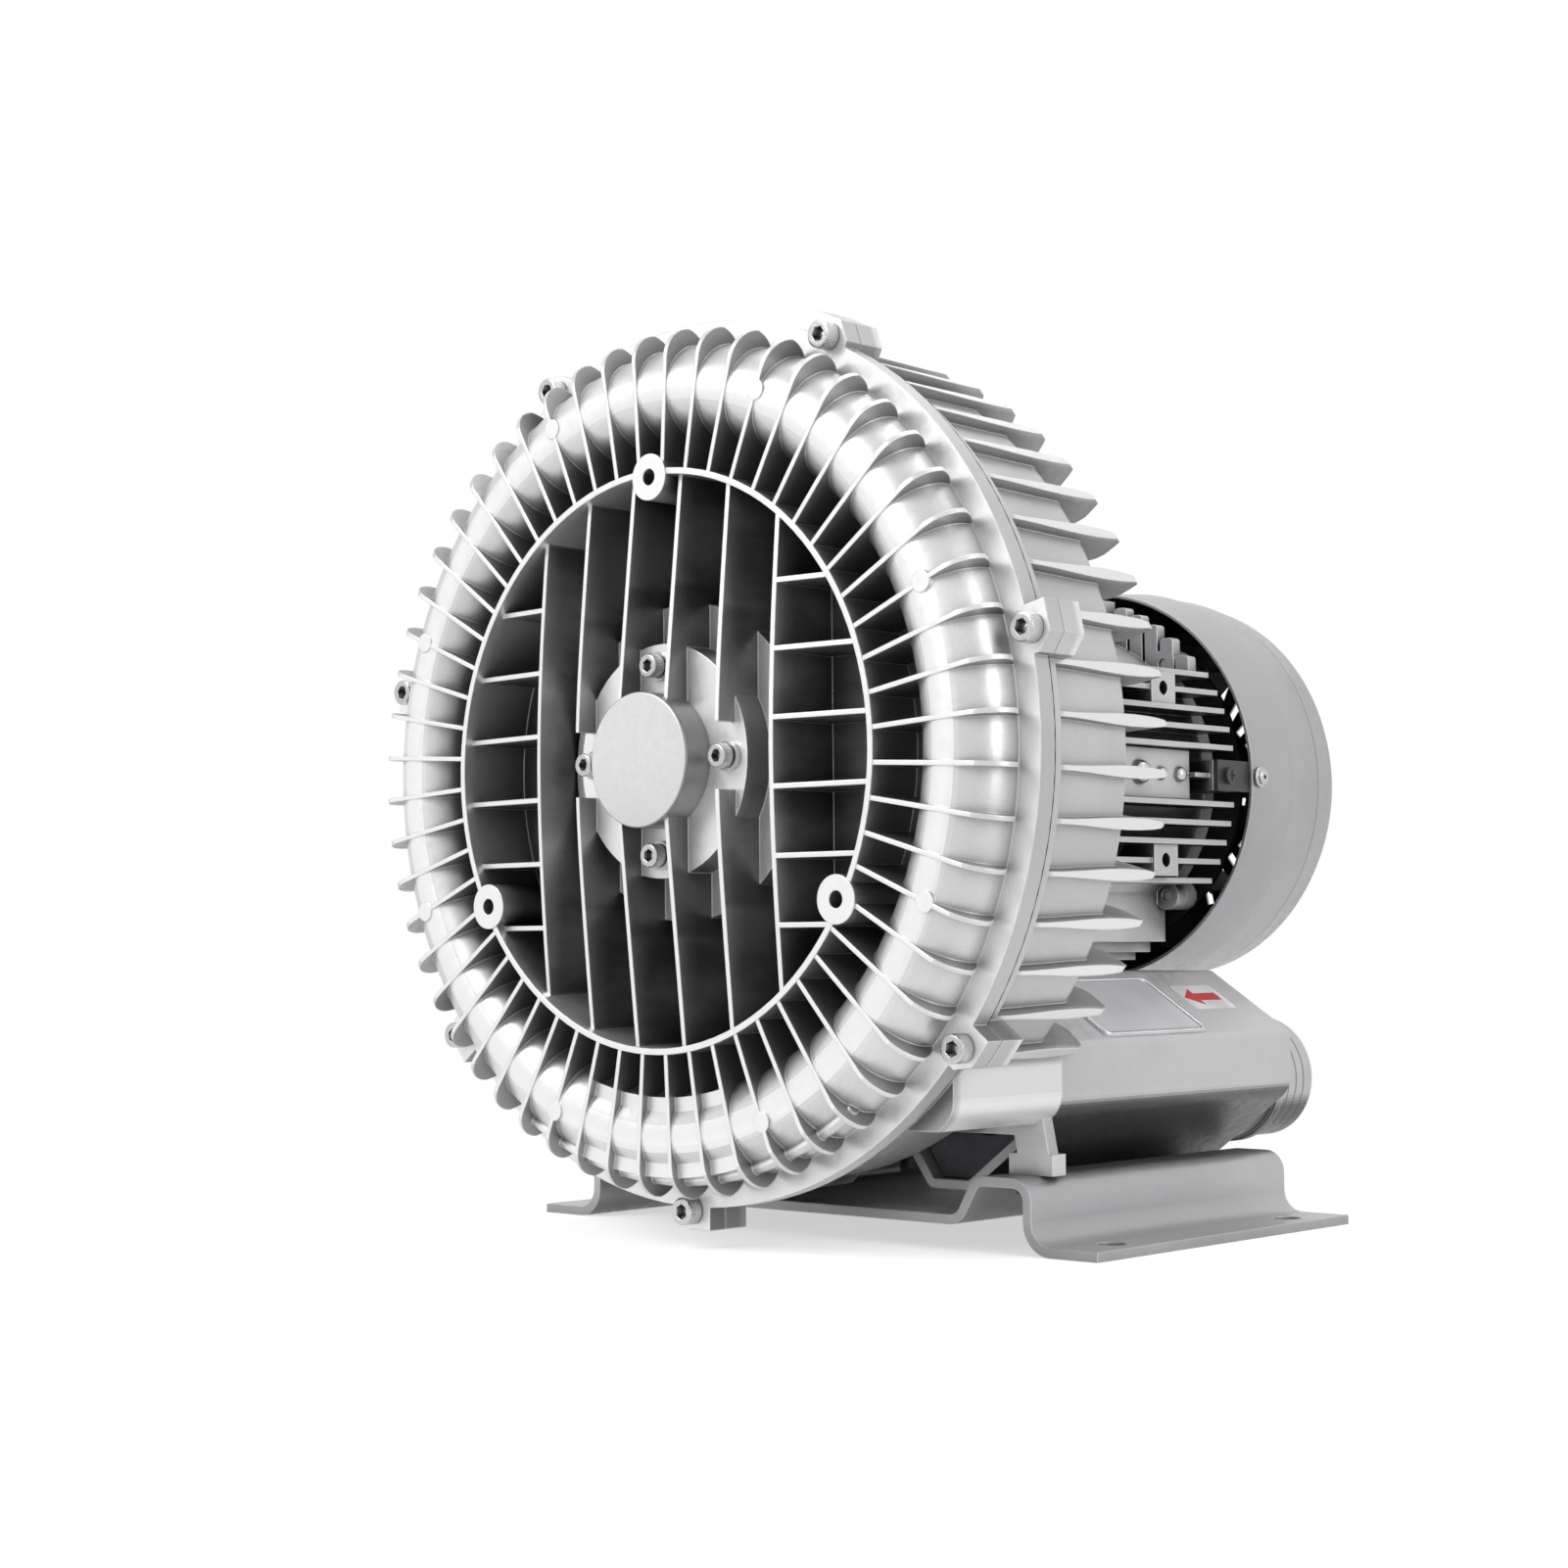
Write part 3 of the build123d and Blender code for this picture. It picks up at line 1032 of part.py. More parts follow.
def terminal_gasket():
    low = BOX_FOOT_Z + BOX_HEIGHT
    body = box_outline(low, low + BOX_GASKET) - box_outline(low - 1, low + 2, BOX_WALL)
    body += [post(LID_POST_R, low, low + BOX_GASKET, x, depth) for x, depth in lid_screw_places()]
    clear_r = SHEET_THREAD_R + GAP
    return body - [post(clear_r, low - 1, low + 2, x, depth) for x, depth in lid_screw_places()]


def terminal_lid():
    low = BOX_FOOT_Z + BOX_HEIGHT + BOX_GASKET
    high = low + BOX_LID
    body = box_outline(low, high)
    body = fillet(body.faces().sort_by(Axis.Z)[-1].edges(), 2.5)
    body -= box_outline(low - 1, high - BOX_WALL, BOX_WALL)
    body += [post(LID_POST_R, low, high - 1, x, depth) for x, depth in lid_screw_places()]
    clear_r = SHEET_THREAD_R + GAP
    return body - [post(clear_r, low - 1, high + 1, x, depth) for x, depth in lid_screw_places()]


def lid_screws():
    seat = BOX_FOOT_Z + BOX_HEIGHT + BOX_GASKET + BOX_LID
    screw = pan_screw(SHEET_THREAD_R, 22, 3.8, 2.4)
    return group(Pos(x, depth, seat) * screw for x, depth in lid_screw_places())


def box_foot_screws():
    seat = BOX_FOOT_Z + BOX_WALL
    screw = pan_screw(SHEET_THREAD_R, 11, 3.8, 2.4)
    return group(Pos(x, depth, seat) * screw for x, depth in box_screw_places())


def terminal_block():
    low = BOX_FOOT_Z + BOX_WALL
    middle = (BOX_FRONT + BOX_BACK) / 2 - 16
    body = block(-21, 21, middle - 13, middle + 13, low, low + 8)
    studs = [post(2, low + 7, low + 17, x, middle + y) for x in (-13, 0, 13) for y in (-7, 7)]
    nuts = [post(3.6, low + 7, low + 11.5, x, middle + y) for x in (-13, 0, 13) for y in (-7, 7)]
    return body + (studs + nuts)


def cable_gland():
    """The gland on the left wall of the terminal box, with its dome nut."""
    out = -BOX_X / 2
    turn = Pos(0, gland_depth(), gland_height()) * Rot(0, 90, 0)
    body = turn * Pos(0, 0, out - 3) * extrude(RegularPolygon(11, 6), amount=3)
    body += turn * Pos(0, 0, out - 12) * Cylinder(9.5, 18)
    body -= turn * Pos(0, 0, out + 14) * Cylinder(30, 28)
    body += turn * Pos(0, 0, out + 3) * Cylinder(GLAND_THREAD_R, 8)
    return body - turn * Pos(0, 0, out) * Cylinder(GLAND_BORE_R, 80)


# ------------------------------------------------------------------ silencers and ports

def foot_boss(room=0.0):
    """The boss that stands on the foot plate's pan and takes the rear foot bolt."""
    return post(FOOT_BOSS_R + room, pan_top(), pan_top() + FOOT_BOSS + room, BACK_BOLT_X, BACK_BOLT_AT)


def pan_top():
    return FOOT_PAN_LOW + FOOT_SHEET - AXIS_HEIGHT


def silencer():
    whole = silencer_solid(SILENCER_FRONT, SILENCER_BACK)
    rear_edges = whole.faces().sort_by(Axis.Y)[-1].edges()
    body = chamfer(rear_edges, 2.5)
    body -= silencer_solid(SILENCER_FRONT - 1, SILENCER_BACK - SILENCER_WALL, SILENCER_WALL)
    boss_back = SILENCER_FRONT + SCREW_BOSS
    bosses = [rod(SCREW_BOSS_R, SILENCER_FRONT, boss_back, x, z) & whole for x, z in right_silencer_screws()]
    body = body + ([foot_boss()] + bosses)
    cuts = [rod(PORT_BORE_R, SILENCER_BACK - 10, SILENCER_BACK + 1, PORT_X, PORT_Z)]
    bolt_top = pan_top() + BACK_BOLT - FOOT_SHEET + 1
    cuts += [post(BACK_BOLT_R + FIT, pan_top() - 1, bolt_top, BACK_BOLT_X, BACK_BOLT_AT)]
    cuts += [
        rod(SILENCER_THREAD_R + GAP, SILENCER_FRONT - 1, boss_back + 1, x, z)
        for x, z in right_silencer_screws()
    ]
    cuts += [
        rod(SHEET_THREAD_R + FIT, SILENCER_BACK - 8, SILENCER_BACK + 1, x, z)
        for x, z in port_screw_places()
    ]
    return body - cuts


def silencer_foam():
    """Sound-absorbing lining with a straight air passage through it."""
    front = SILENCER_FRONT + SCREW_BOSS + 1
    body = silencer_solid(front, SILENCER_BACK - SILENCER_WALL - 1, SILENCER_WALL + GAP)
    body -= rod(PORT_BORE_R + 1.5, SILENCER_FRONT, SILENCER_BACK, PORT_X, PORT_Z + 8)
    return body - foot_boss(0.5)


def port_screw_places():
    """The hose flange's three screws, on the flat rear wall of the silencer."""
    return [(PORT_X + PORT_SCREW_R * cos(radians(a)), PORT_Z + PORT_SCREW_R * sin(radians(a)))
            for a in (35, 145, 90)]


def port_flange():
    """The hose neck with a raised ring, on a round flange that is cut off at the silencer's edges."""
    front = SILENCER_BACK
    plate_back = front + PORT_PLATE
    plate = rod(PORT_FLANGE_R, front, plate_back, PORT_X, PORT_Z)
    plate &= silencer_solid(front, plate_back, 3)
    neck = rod(PORT_R, front, PORT_BACK, PORT_X, PORT_Z)
    bead = rod(PORT_R + 1.6, plate_back + 5, plate_back + 9, PORT_X, PORT_Z)
    body = plate + [neck, bead]
    body -= rod(PORT_BORE_R, front - 1, PORT_BACK + 1, PORT_X, PORT_Z)
    clear_r = SHEET_THREAD_R + GAP
    return body - [rod(clear_r, front - 1, plate_back + 1, x, z) for x, z in port_screw_places()]


def port_screws():
    seat = SILENCER_BACK + PORT_PLATE
    screw = Rot(-90, 0, 0) * pan_screw(SHEET_THREAD_R, 9, 3.6, 2.4)
    screws = [Pos(x, seat, z) * screw for x, z in port_screw_places()]
    return group(screws + [mirror(screw, about=Plane.YZ) for screw in screws])


def silencer_screws():
    """Screws from inside each silencer into the duct's flange."""
    seat = SILENCER_FRONT + SCREW_BOSS
    screw = Rot(-90, 0, 0) * pan_screw(SILENCER_THREAD_R, SILENCER_SCREW, 4.2, 0.9)
    return group(Pos(x, seat, z) * screw for x, z in silencer_screw_places())


# ------------------------------------------------------------------ foot plate

def foot_plate():
    middle = FOOT_SHEET / 2
    crest = FOOT_CREST - middle
    pan = FOOT_PAN_LOW + middle
    right = [(FOOT_PAN_X, pan), (FOOT_CREST_IN_X, crest), (FOOT_STEP_X, crest), (FOOT_STEP_X, middle),
             (FOOT_HALF, middle)]
    left = [(-x, z) for x, z in reversed(right)]
    line = FilletPolyline(*[(x, z) for x, z in left + right], radius=FOOT_BENDS + FOOT_BENDS[::-1])
    strip = trace(line, FOOT_SHEET)
    body = extrude(Plane.XZ * strip, amount=FOOT_LENGTH / 2, both=True)
    body = Pos(0, RIM_AHEAD, -AXIS_HEIGHT) * body
    cuts = [post(FOOT_HOLE_R, -AXIS_HEIGHT - 1, -AXIS_HEIGHT + 6, x, RIM_AHEAD + y)
            for x in (-FOOT_HOLE_X, FOOT_HOLE_X) for y in (-FOOT_HOLE_Y, FOOT_HOLE_Y)]
    cuts += both_sides(post(FRONT_BOLT_R + GAP, CREST_TOP - 6, CREST_TOP + 1, FRONT_BOLT_X, FRONT_BOLT_AT))
    cuts += both_sides(post(BACK_BOLT_R + GAP, pan_top() - 6, pan_top() + 1, BACK_BOLT_X, BACK_BOLT_AT))
    return body - cuts


def hexagon_bolt(thread_r, length):
    """A hexagon head bolt pointing up, its seat at z = 0, two flats facing X."""
    across = 3.33 * thread_r
    head = extrude(Rot(0, 0, 30) * RegularPolygon(across / sqrt(3), 6), amount=-1.3 * thread_r)
    return head + Pos(0, 0, length / 2) * Cylinder(thread_r, length)


def foot_bolts():
    """Bolts from below into the housing's legs, on the crests, and the silencers, on the pan."""
    front = Pos(FRONT_BOLT_X, FRONT_BOLT_AT, CREST_TOP - FOOT_SHEET)
    back = Pos(BACK_BOLT_X, BACK_BOLT_AT, pan_top() - FOOT_SHEET)
    right = [
        front * hexagon_bolt(FRONT_BOLT_R, FRONT_BOLT), back * hexagon_bolt(BACK_BOLT_R, BACK_BOLT)
    ]
    return group(bolt for one in right for bolt in both_sides(one))


# ------------------------------------------------------------------ name plate and arrows

def on_slope(shape, side):
    """Lays a flat shape, drawn about the origin with its length along Y, on a silencer's slope."""
    (x0, z0), (x1, z1) = SILENCER_OUTLINE[1], SILENCER_OUTLINE[2]
    tilt = degrees(asin((z0 - z1) / sqrt((x1 - x0) ** 2 + (z1 - z0) ** 2)))
    placed = Pos((x0 + x1) / 2, 0, (z0 + z1) / 2) * Rot(0, tilt, 0) * shape
    return placed if side > 0 else mirror(placed, about=Plane.YZ)


def label_plate():
    middle = Pos(LABEL_DOWN, LABEL_AT, LABEL_SHEET / 2)
    body = middle * Box(LABEL_WIDTH, LABEL_LENGTH, LABEL_SHEET)
    body = fillet(body.edges().filter_by(Axis.Z), 4)
    return on_slope(body, 1)


def arrow(points_at_pump):
    """A flat arrow sticker: towards the pump on the inlet, away from it on the outlet."""
    way = -1 if points_at_pump else 1
    tip = way * ARROW_LENGTH / 2
    neck = tip - way * 9
    outline = Polyline((-2.6, -tip), (2.6, -tip), (2.6, neck), (6, neck), (0, tip), (-6, neck),
                       (-2.6, neck), close=True)
    sheet = extrude(make_face(outline), amount=ARROW_SHEET, dir=(0, 0, 1))
    body = Pos(ARROW_DOWN, ARROW_AT, 0) * sheet
    return on_slope(body, 1 if points_at_pump else -1)


# ------------------------------------------------------------------ the whole blower

def nodes():
    front, rear = FRONT_BEARING_AT, REAR_BEARING_AT
    right_silencer, right_foam, right_port = silencer(), silencer_foam(), port_flange()
    return {
        "front_cover": front_cover(),
        "pump_housing": pump_housing(),
        "cover_gasket": cover_gasket(),
        "cover_screws": cover_screws(),
        "bearing_cap": bearing_cap(),
        "hub_screws": hub_screws(),
        "hub_washers": hub_washers(),
        "bearing_retainer": bearing_retainer(),
        "front_shaft_seal": front_shaft_seal(),
        "rear_shaft_seal": rear_shaft_seal(),
        "wave_spring": wave_spring(),
        "front_bearing_outer_ring": bearing_outer(front),
        "front_bearing_inner_ring": bearing_inner(front),
        "front_bearing_balls": bearing_balls(front),
        "front_bearing_cage": bearing_cage(front),
        "rear_bearing_outer_ring": bearing_outer(rear),
        "rear_bearing_inner_ring": bearing_inner(rear),
        "rear_bearing_balls": bearing_balls(rear),
        "rear_bearing_cage": bearing_cage(rear),
        "shaft": shaft(),
        "shaft_nut": shaft_nut(),
        "lock_washer": lock_washer(),
        "spacer_sleeve": spacer_sleeve(),
        "impeller": impeller(),
        "impeller_key": impeller_key(),
        "rotor_core": rotor_core(),
        "cooling_fan": cooling_fan(),
        "fan_clip": fan_clip(),
        "motor_frame": motor_frame(),
        "motor_screws": motor_screws(),
        "pad_rivets": pad_rivets(),
        "stator_core": stator_core(),
        "stator_windings": stator_windings(),
        "rear_end_shield": rear_end_shield(),
        "shield_screws": shield_screws(),
        "fan_cowl": fan_cowl(),
        "cowl_brackets": cowl_brackets(),
        "cowl_screws": cowl_screws(),
        "bracket_screws": bracket_screws(),
        "terminal_box": terminal_box(),
        "terminal_gasket": terminal_gasket(),
        "terminal_lid": terminal_lid(),
        "lid_screws": lid_screws(),
        "box_foot_screws": box_foot_screws(),
        "terminal_block": terminal_block(),
        "cable_gland": cable_gland(),
        "inlet_silencer": right_silencer,
        "outlet_silencer": mirror(right_silencer, about=Plane.YZ),
        "inlet_foam": right_foam,
        "outlet_foam": mirror(right_foam, about=Plane.YZ),
        "inlet_port": right_port,
        "outlet_port": mirror(right_port, about=Plane.YZ),
        "port_screws": port_screws(),
        "silencer_screws": silencer_screws(),
        "foot_plate": foot_plate(),
        "foot_bolts": foot_bolts(),
        "label_plate": label_plate(),
        "inlet_arrow": arrow(True),
        "outlet_arrow": arrow(False),
    }


def write_nodes():
    os.makedirs("parts", exist_ok=True)
    stand = Pos(0, -RIM_AHEAD, AXIS_HEIGHT)
    for name, shape in nodes().items():
        export_step(stand * shape, os.path.join("parts", name + ".step"))


write_nodes()
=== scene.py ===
# %% [markdown]
# # A side channel blower, dressed for the shelf
# The blower's castings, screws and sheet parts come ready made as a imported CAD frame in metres: the
# shaft lies along +Y, +Z is up and the floor is z = 0. This lesson gives every piece its finish, adds
# the small real details that a CAD solid leaves out, and sets up a plain studio. It never moves or
# reshapes a CAD piece, because the machine's fits and joints depend on them.

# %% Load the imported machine
import math

import bmesh
import bpy
from mathutils import Matrix, Vector


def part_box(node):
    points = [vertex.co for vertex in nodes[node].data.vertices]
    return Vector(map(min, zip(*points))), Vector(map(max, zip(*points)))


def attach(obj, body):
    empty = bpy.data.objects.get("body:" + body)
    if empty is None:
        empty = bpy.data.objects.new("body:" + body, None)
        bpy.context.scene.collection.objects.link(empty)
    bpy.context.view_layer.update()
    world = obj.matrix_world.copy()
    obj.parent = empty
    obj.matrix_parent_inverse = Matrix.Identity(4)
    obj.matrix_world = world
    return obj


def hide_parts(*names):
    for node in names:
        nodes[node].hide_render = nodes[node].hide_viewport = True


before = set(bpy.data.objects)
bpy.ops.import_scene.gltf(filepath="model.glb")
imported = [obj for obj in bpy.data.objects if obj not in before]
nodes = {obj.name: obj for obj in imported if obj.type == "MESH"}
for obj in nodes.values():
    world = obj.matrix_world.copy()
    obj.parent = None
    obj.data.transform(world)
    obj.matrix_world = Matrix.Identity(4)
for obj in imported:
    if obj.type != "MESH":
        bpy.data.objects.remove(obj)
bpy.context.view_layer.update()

MM = 0.001

# %% [markdown]
# ## Where things are
# A finish often belongs to a place: the recess is darker, the cowl has two creases. Such places could
# be painted by hand, but then they would be lost with the next change of the CAD. Here they are
# measured from the CAD boxes: the shaft runs through the middle of the bearing cap, and depths count
# from the cover's front rim. The silencer's slope, which carries the name plate, falls 27 mm in 41 mm.

# %% Driving places
cap_low, cap_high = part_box("bearing_cap")
SHAFT_X = (cap_low.x + cap_high.x) / 2
SHAFT_Z = (cap_low.z + cap_high.z) / 2
CAP_STANDS_PROUD = 7.7 * MM
RIM_Y = cap_low.y + CAP_STANDS_PROUD
SLOPE_ACROSS, SLOPE_DROP = 41.0, 27.0
print("shaft at x", round(SHAFT_X, 4), "z", round(SHAFT_Z, 4), "rim at y", round(RIM_Y, 4))


# %% [markdown]
# ## A small kit for shader graphs
# A procedural material is a graph of small sums. It could be wired by hand in the Shader Editor, but a
# script can be read and run again. Writing each node out takes many lines, so a graph is built with a
# helper whose methods make one node each and return its output socket.

# %% Shader graph helper
class Graph:
    """Makes one material and the nodes in it; each method returns an output socket."""

    def __init__(self, name):
        self.material = bpy.data.materials.new(name)
        self.material.use_nodes = True
        self.tree = self.material.node_tree
        self.tree.nodes.clear()
        self.out = self.tree.nodes.new("ShaderNodeOutputMaterial")
        self.shader = self.tree.nodes.new("ShaderNodeBsdfPrincipled")
        self.tree.links.new(self.shader.outputs[0], self.out.inputs[0])
        self.object_space = self.node("ShaderNodeTexCoord").outputs["Object"]

    def node(self, kind, **settings):
        made = self.tree.nodes.new(kind)
        for key, value in settings.items():
            setattr(made, key, value)
        return made

    def feed(self, socket, value):
        """Links a socket, or sets its value; a colour of three parts gets its alpha."""
        if isinstance(value, bpy.types.NodeSocket):
            self.tree.links.new(value, socket)
        elif isinstance(value, tuple) and len(value) == 3 and socket.type == "RGBA":
            socket.default_value = (*value, 1.0)
        else:
            socket.default_value = value

    def math(self, operation, *values):
        made = self.node("ShaderNodeMath", operation=operation)
        for socket, value in zip(made.inputs, values):
            self.feed(socket, value)
        return made.outputs[0]

    def part(self, axis, vector=None):
        """X, Y or Z (0, 1 or 2) of a vector, or of the shaded point if none is given."""
        made = self.node("ShaderNodeSeparateXYZ")
        self.feed(made.inputs[0], vector or self.object_space)
        return made.outputs[axis]

    def away_from(self, depth):
        """Distance along the shaft from a depth behind the rim, in metres."""
        return self.math("ABSOLUTE", self.math("SUBTRACT", self.part(1), RIM_Y + depth))

    def noise(self, scale, detail=4.0, stretch=None):
        made = self.node("ShaderNodeTexNoise")
        place = self.object_space
        if stretch:
            mapping = self.node("ShaderNodeMapping")
            self.feed(mapping.inputs["Vector"], place)
            mapping.inputs["Scale"].default_value = stretch
            place = mapping.outputs[0]
        self.feed(made.inputs["Vector"], place)
        made.inputs["Scale"].default_value = scale
        made.inputs["Detail"].default_value = detail
        made.inputs["Roughness"].default_value = 0.55
        return made.outputs["Fac"]

    def between(self, value, low, high, out_low=0.0, out_high=1.0):
        """Maps value from low..high to out_low..out_high, smooth and clamped."""
        made = self.node("ShaderNodeMapRange", interpolation_type="SMOOTHSTEP")
        for socket, given in zip(made.inputs, (value, low, high, out_low, out_high)):
            self.feed(socket, given)
        return made.outputs[0]

    def mix(self, share, first, second):
        made = self.node("ShaderNodeMix", data_type="RGBA")
        self.feed(made.inputs["Factor"], share)
        self.feed(made.inputs[6], first)
        self.feed(made.inputs[7], second)
        return made.outputs[2]

    def facing(self, axis):
        """One part of the flat face's own normal, before any rounding or bump."""
        return self.part(axis, self.node("ShaderNodeNewGeometry").outputs["True Normal"])

    # This mask is used to paint shade into crevices.
    def crevice(self, reach):
        """1 deep between walls that stand closer than the reach, 0 in the open."""
        open_sky = self.node("ShaderNodeAmbientOcclusion", samples=6)
        open_sky.inputs["Distance"].default_value = reach
        return self.between(open_sky.outputs["AO"], 0.80, 0.25)

    def darken(self, share, tone, keep):
        """Multiplies a tone down to the part it keeps, where share is 1."""
        left = self.math("SUBTRACT", 1.0, self.math("MULTIPLY", share, 1.0 - keep))
        made = self.node("ShaderNodeVectorMath", operation="SCALE")
        self.feed(made.inputs[0], tone)
        self.feed(made.inputs["Scale"], left)
        return made.outputs[0]

    def edges(self, radius):
        """1 on edges and corners, 0 on flat faces: how far a rounded normal leaves the flat one."""
        rounded = self.node("ShaderNodeBevel", samples=4)
        rounded.inputs["Radius"].default_value = radius
        true_face = self.node("ShaderNodeNewGeometry").outputs["True Normal"]
        dot = self.node("ShaderNodeVectorMath", operation="DOT_PRODUCT")
        self.feed(dot.inputs[0], rounded.outputs[0])
        self.feed(dot.inputs[1], true_face)
        return self.between(dot.outputs["Value"], 0.98, 0.80)

    def relief(self, heights, rounding):
        """Rounded edges with bumps one after another, each (height socket, strength, depth)."""
        soft = self.node("ShaderNodeBevel", samples=4)
        soft.inputs["Radius"].default_value = rounding
        normal = soft.outputs[0]
        for height, strength, depth in heights:
            bump = self.node("ShaderNodeBump")
            bump.inputs["Strength"].default_value = strength
            bump.inputs["Distance"].default_value = depth
            self.feed(bump.inputs["Height"], height)
            self.feed(bump.inputs["Normal"], normal)
            normal = bump.outputs[0]
        self.feed(self.shader.inputs["Normal"], normal)

    def set(self, **values):
        for name, value in values.items():
            self.feed(self.shader.inputs[name.replace("_", " ")], value)


print("graph helper ready")


# %% [markdown]
# ## Reading the shape inside a material
# The drum and cover are bodies of revolution, so most shades depend on how far a point lies from the
# shaft and which way its face looks. These three sums say that. A vertex colour could hold the same,
# but it would have to be worked out for every mesh and would end at the size of its faces.

# %% Distance from the shaft and direction of a face
def shaft_distance(g):
    """Distance from the shaft axis at the shaded point."""
    x = g.math("SUBTRACT", g.part(0), SHAFT_X)
    z = g.math("SUBTRACT", g.part(2), SHAFT_Z)
    squares = g.math("ADD", g.math("MULTIPLY", x, x), g.math("MULTIPLY", z, z))
    return g.math("SQRT", squares)


def outward(g):
    """1 where the flat face looks away from the shaft, -1 where it looks at it."""
    x = g.math("MULTIPLY", g.facing(0), g.math("SUBTRACT", g.part(0), SHAFT_X))
    z = g.math("MULTIPLY", g.facing(2), g.math("SUBTRACT", g.part(2), SHAFT_Z))
    return g.math("DIVIDE", g.math("ADD", x, z), shaft_distance(g))


def flank(g):
    """1 on walls that look neither along the shaft nor away from it, such as a fin's sides."""
    out, along = outward(g), g.facing(1)
    looks = g.math("ADD", g.math("MULTIPLY", out, out), g.math("MULTIPLY", along, along))
    return g.between(looks, 0.60, 0.15)


print("shape readers ready")


# %% [markdown]
# ## Silver-painted cast aluminium
# The pump is pressure-cast and sprayed silver. Three things make such paint believable: a fine
# orange-peel grain, slow drifts of tone where the spray was thicker, and edges rubbed bright, which are
# also a painted highlight. Crevices between walls that stand close are darkened as painted shade. All
# castings share this recipe and differ in their numbers.

# %% The recipe of a casting
def spray(g, base, shade):
    """Sprayed paint: slow drifts of tone and fine metal flakes."""
    tone = g.mix(g.between(g.noise(11.0, 3.0), 0.35, 0.65), base, shade)
    flake = g.noise(1500.0, 1.0)
    return g.mix(g.between(flake, 0.35, 0.75, 0.0, 0.10), tone, (0.30, 0.30, 0.31)), flake


def cast_finish(g, tone, flake, reach, keep, edge, rough):
    """Painted shade in crevices, edges made bright as wear and painted highlight, and the grain that
    every casting has.
    """
    # Painted shade where walls stand close.
    tone = g.darken(g.crevice(reach), tone, keep)
    # Bright edges: rubbed wear, and a painted highlight.
    tone = g.mix(g.math("MULTIPLY", g.edges(0.8 * MM), 0.85), tone, edge)
    pits = g.noise(260.0, 3.0)
    g.set(Base_Color=tone, Roughness=g.between(pits, 0.3, 0.7, rough - 0.05, rough + 0.08))
    g.relief([(flake, 0.15, 0.05 * MM), (pits, 0.15, 0.3 * MM)], rounding=0.8 * MM)
    return g.material


# %% [markdown]
# ## The front cover
# The cover's ribbed recess is darkened as painted shade, the more the deeper it goes, and unevenly in
# patches. Faces that look straight forward, such as rib edges, bosses and the seat of the bearing cap,
# are milled after painting and show bare metal; the same brightening is also a painted highlight on the
# crown of the channel. The rib sides and the side wall round the hub are darkened as painted shade, and
# the clamp lugs are greyer than the crown of the channel. Each zone could be a material of its own, but
# a soft border between two zones needs both in one graph.

# %% Cover
RECESS_R = 115 * MM
HUB_PLATE_R = 72 * MM
LUGS_FROM = 176.25 * MM
# Depths over which the recess's painted shade grows.
RECESS_SHADE_FROM, RECESS_SHADE_TO = -4 * MM, 14 * MM
# Forward faces shallower than this are bright: milled metal, and a painted highlight.
MILLED_AND_HIGHLIT_TO = 23 * MM


def cover_finish():
    g = Graph("silver_cover")
    tone, flake = spray(g, (0.80, 0.80, 0.81), (0.68, 0.68, 0.69))
    # Painted shade on the rib sides.
    tone = g.darken(flank(g), tone, 0.60)
    depth = g.math("SUBTRACT", g.part(1), RIM_Y)
    # Painted shade in the recess, darker with depth.
    inside = g.between(shaft_distance(g), RECESS_R + 1 * MM, RECESS_R - 1 * MM)
    recess_shade = g.math("MULTIPLY", inside, g.between(depth, RECESS_SHADE_FROM, RECESS_SHADE_TO))
    tone = g.darken(recess_shade, tone, 0.52)
    # Painted shade on the side wall round the hub plate.
    wall = g.between(g.math("ABSOLUTE", g.facing(1)), 0.6, 0.2)
    near_hub = g.between(shaft_distance(g), HUB_PLATE_R + 2 * MM, HUB_PLATE_R - 2 * MM)
    tone = g.darken(g.math("MULTIPLY", wall, near_hub), tone, 0.60)
    lug = g.between(shaft_distance(g), LUGS_FROM - 0.75 * MM, LUGS_FROM + 0.75 * MM)
    tone = g.darken(lug, tone, 0.72)
    # Patches that make the recess's painted shade uneven.
    smear = g.noise(14.0, 5.0, stretch=(1.0, 1.0, 2.6))
    tone = g.darken(g.math("MULTIPLY", recess_shade, g.between(smear, 0.40, 0.62)), tone, 0.55)
    # Forward faces made bright: milled metal, and a painted highlight on the channel's crown.
    looks_forward = g.between(g.math("MULTIPLY", g.facing(1), -1.0), 0.93, 0.985)
    milled_and_highlit = g.math("MULTIPLY", looks_forward, g.between(depth, MILLED_AND_HIGHLIT_TO + 1.5 * MM, MILLED_AND_HIGHLIT_TO))
    g.set(Metallic=0.55)
    made = cast_finish(g, tone, flake, 22 * MM, 0.32, (0.93, 0.93, 0.94), 0.34)
    painted = g.shader.inputs["Base Color"].links[0].from_socket
    g.set(Base_Color=g.mix(milled_and_highlit, painted, (0.93, 0.93, 0.94)))
    return made


silver_cover = cover_finish()
print(silver_cover.name, len(silver_cover.node_tree.nodes), "nodes")


# %% [markdown]
# ## Housing and motor
# Both are finned all round. A fin catches light on its crest and hides its sides, so the crests of the
# housing's fins are mixed brighter and their sides darker. The motor's fins stand so close that the
# gaps look black: a wide reach and a low keep in the crevice do that, and no lamp has to be moved.

# %% Housing and motor
FLANGE_BACK = 40 * MM
FIN_TIP_R = 174.5 * MM


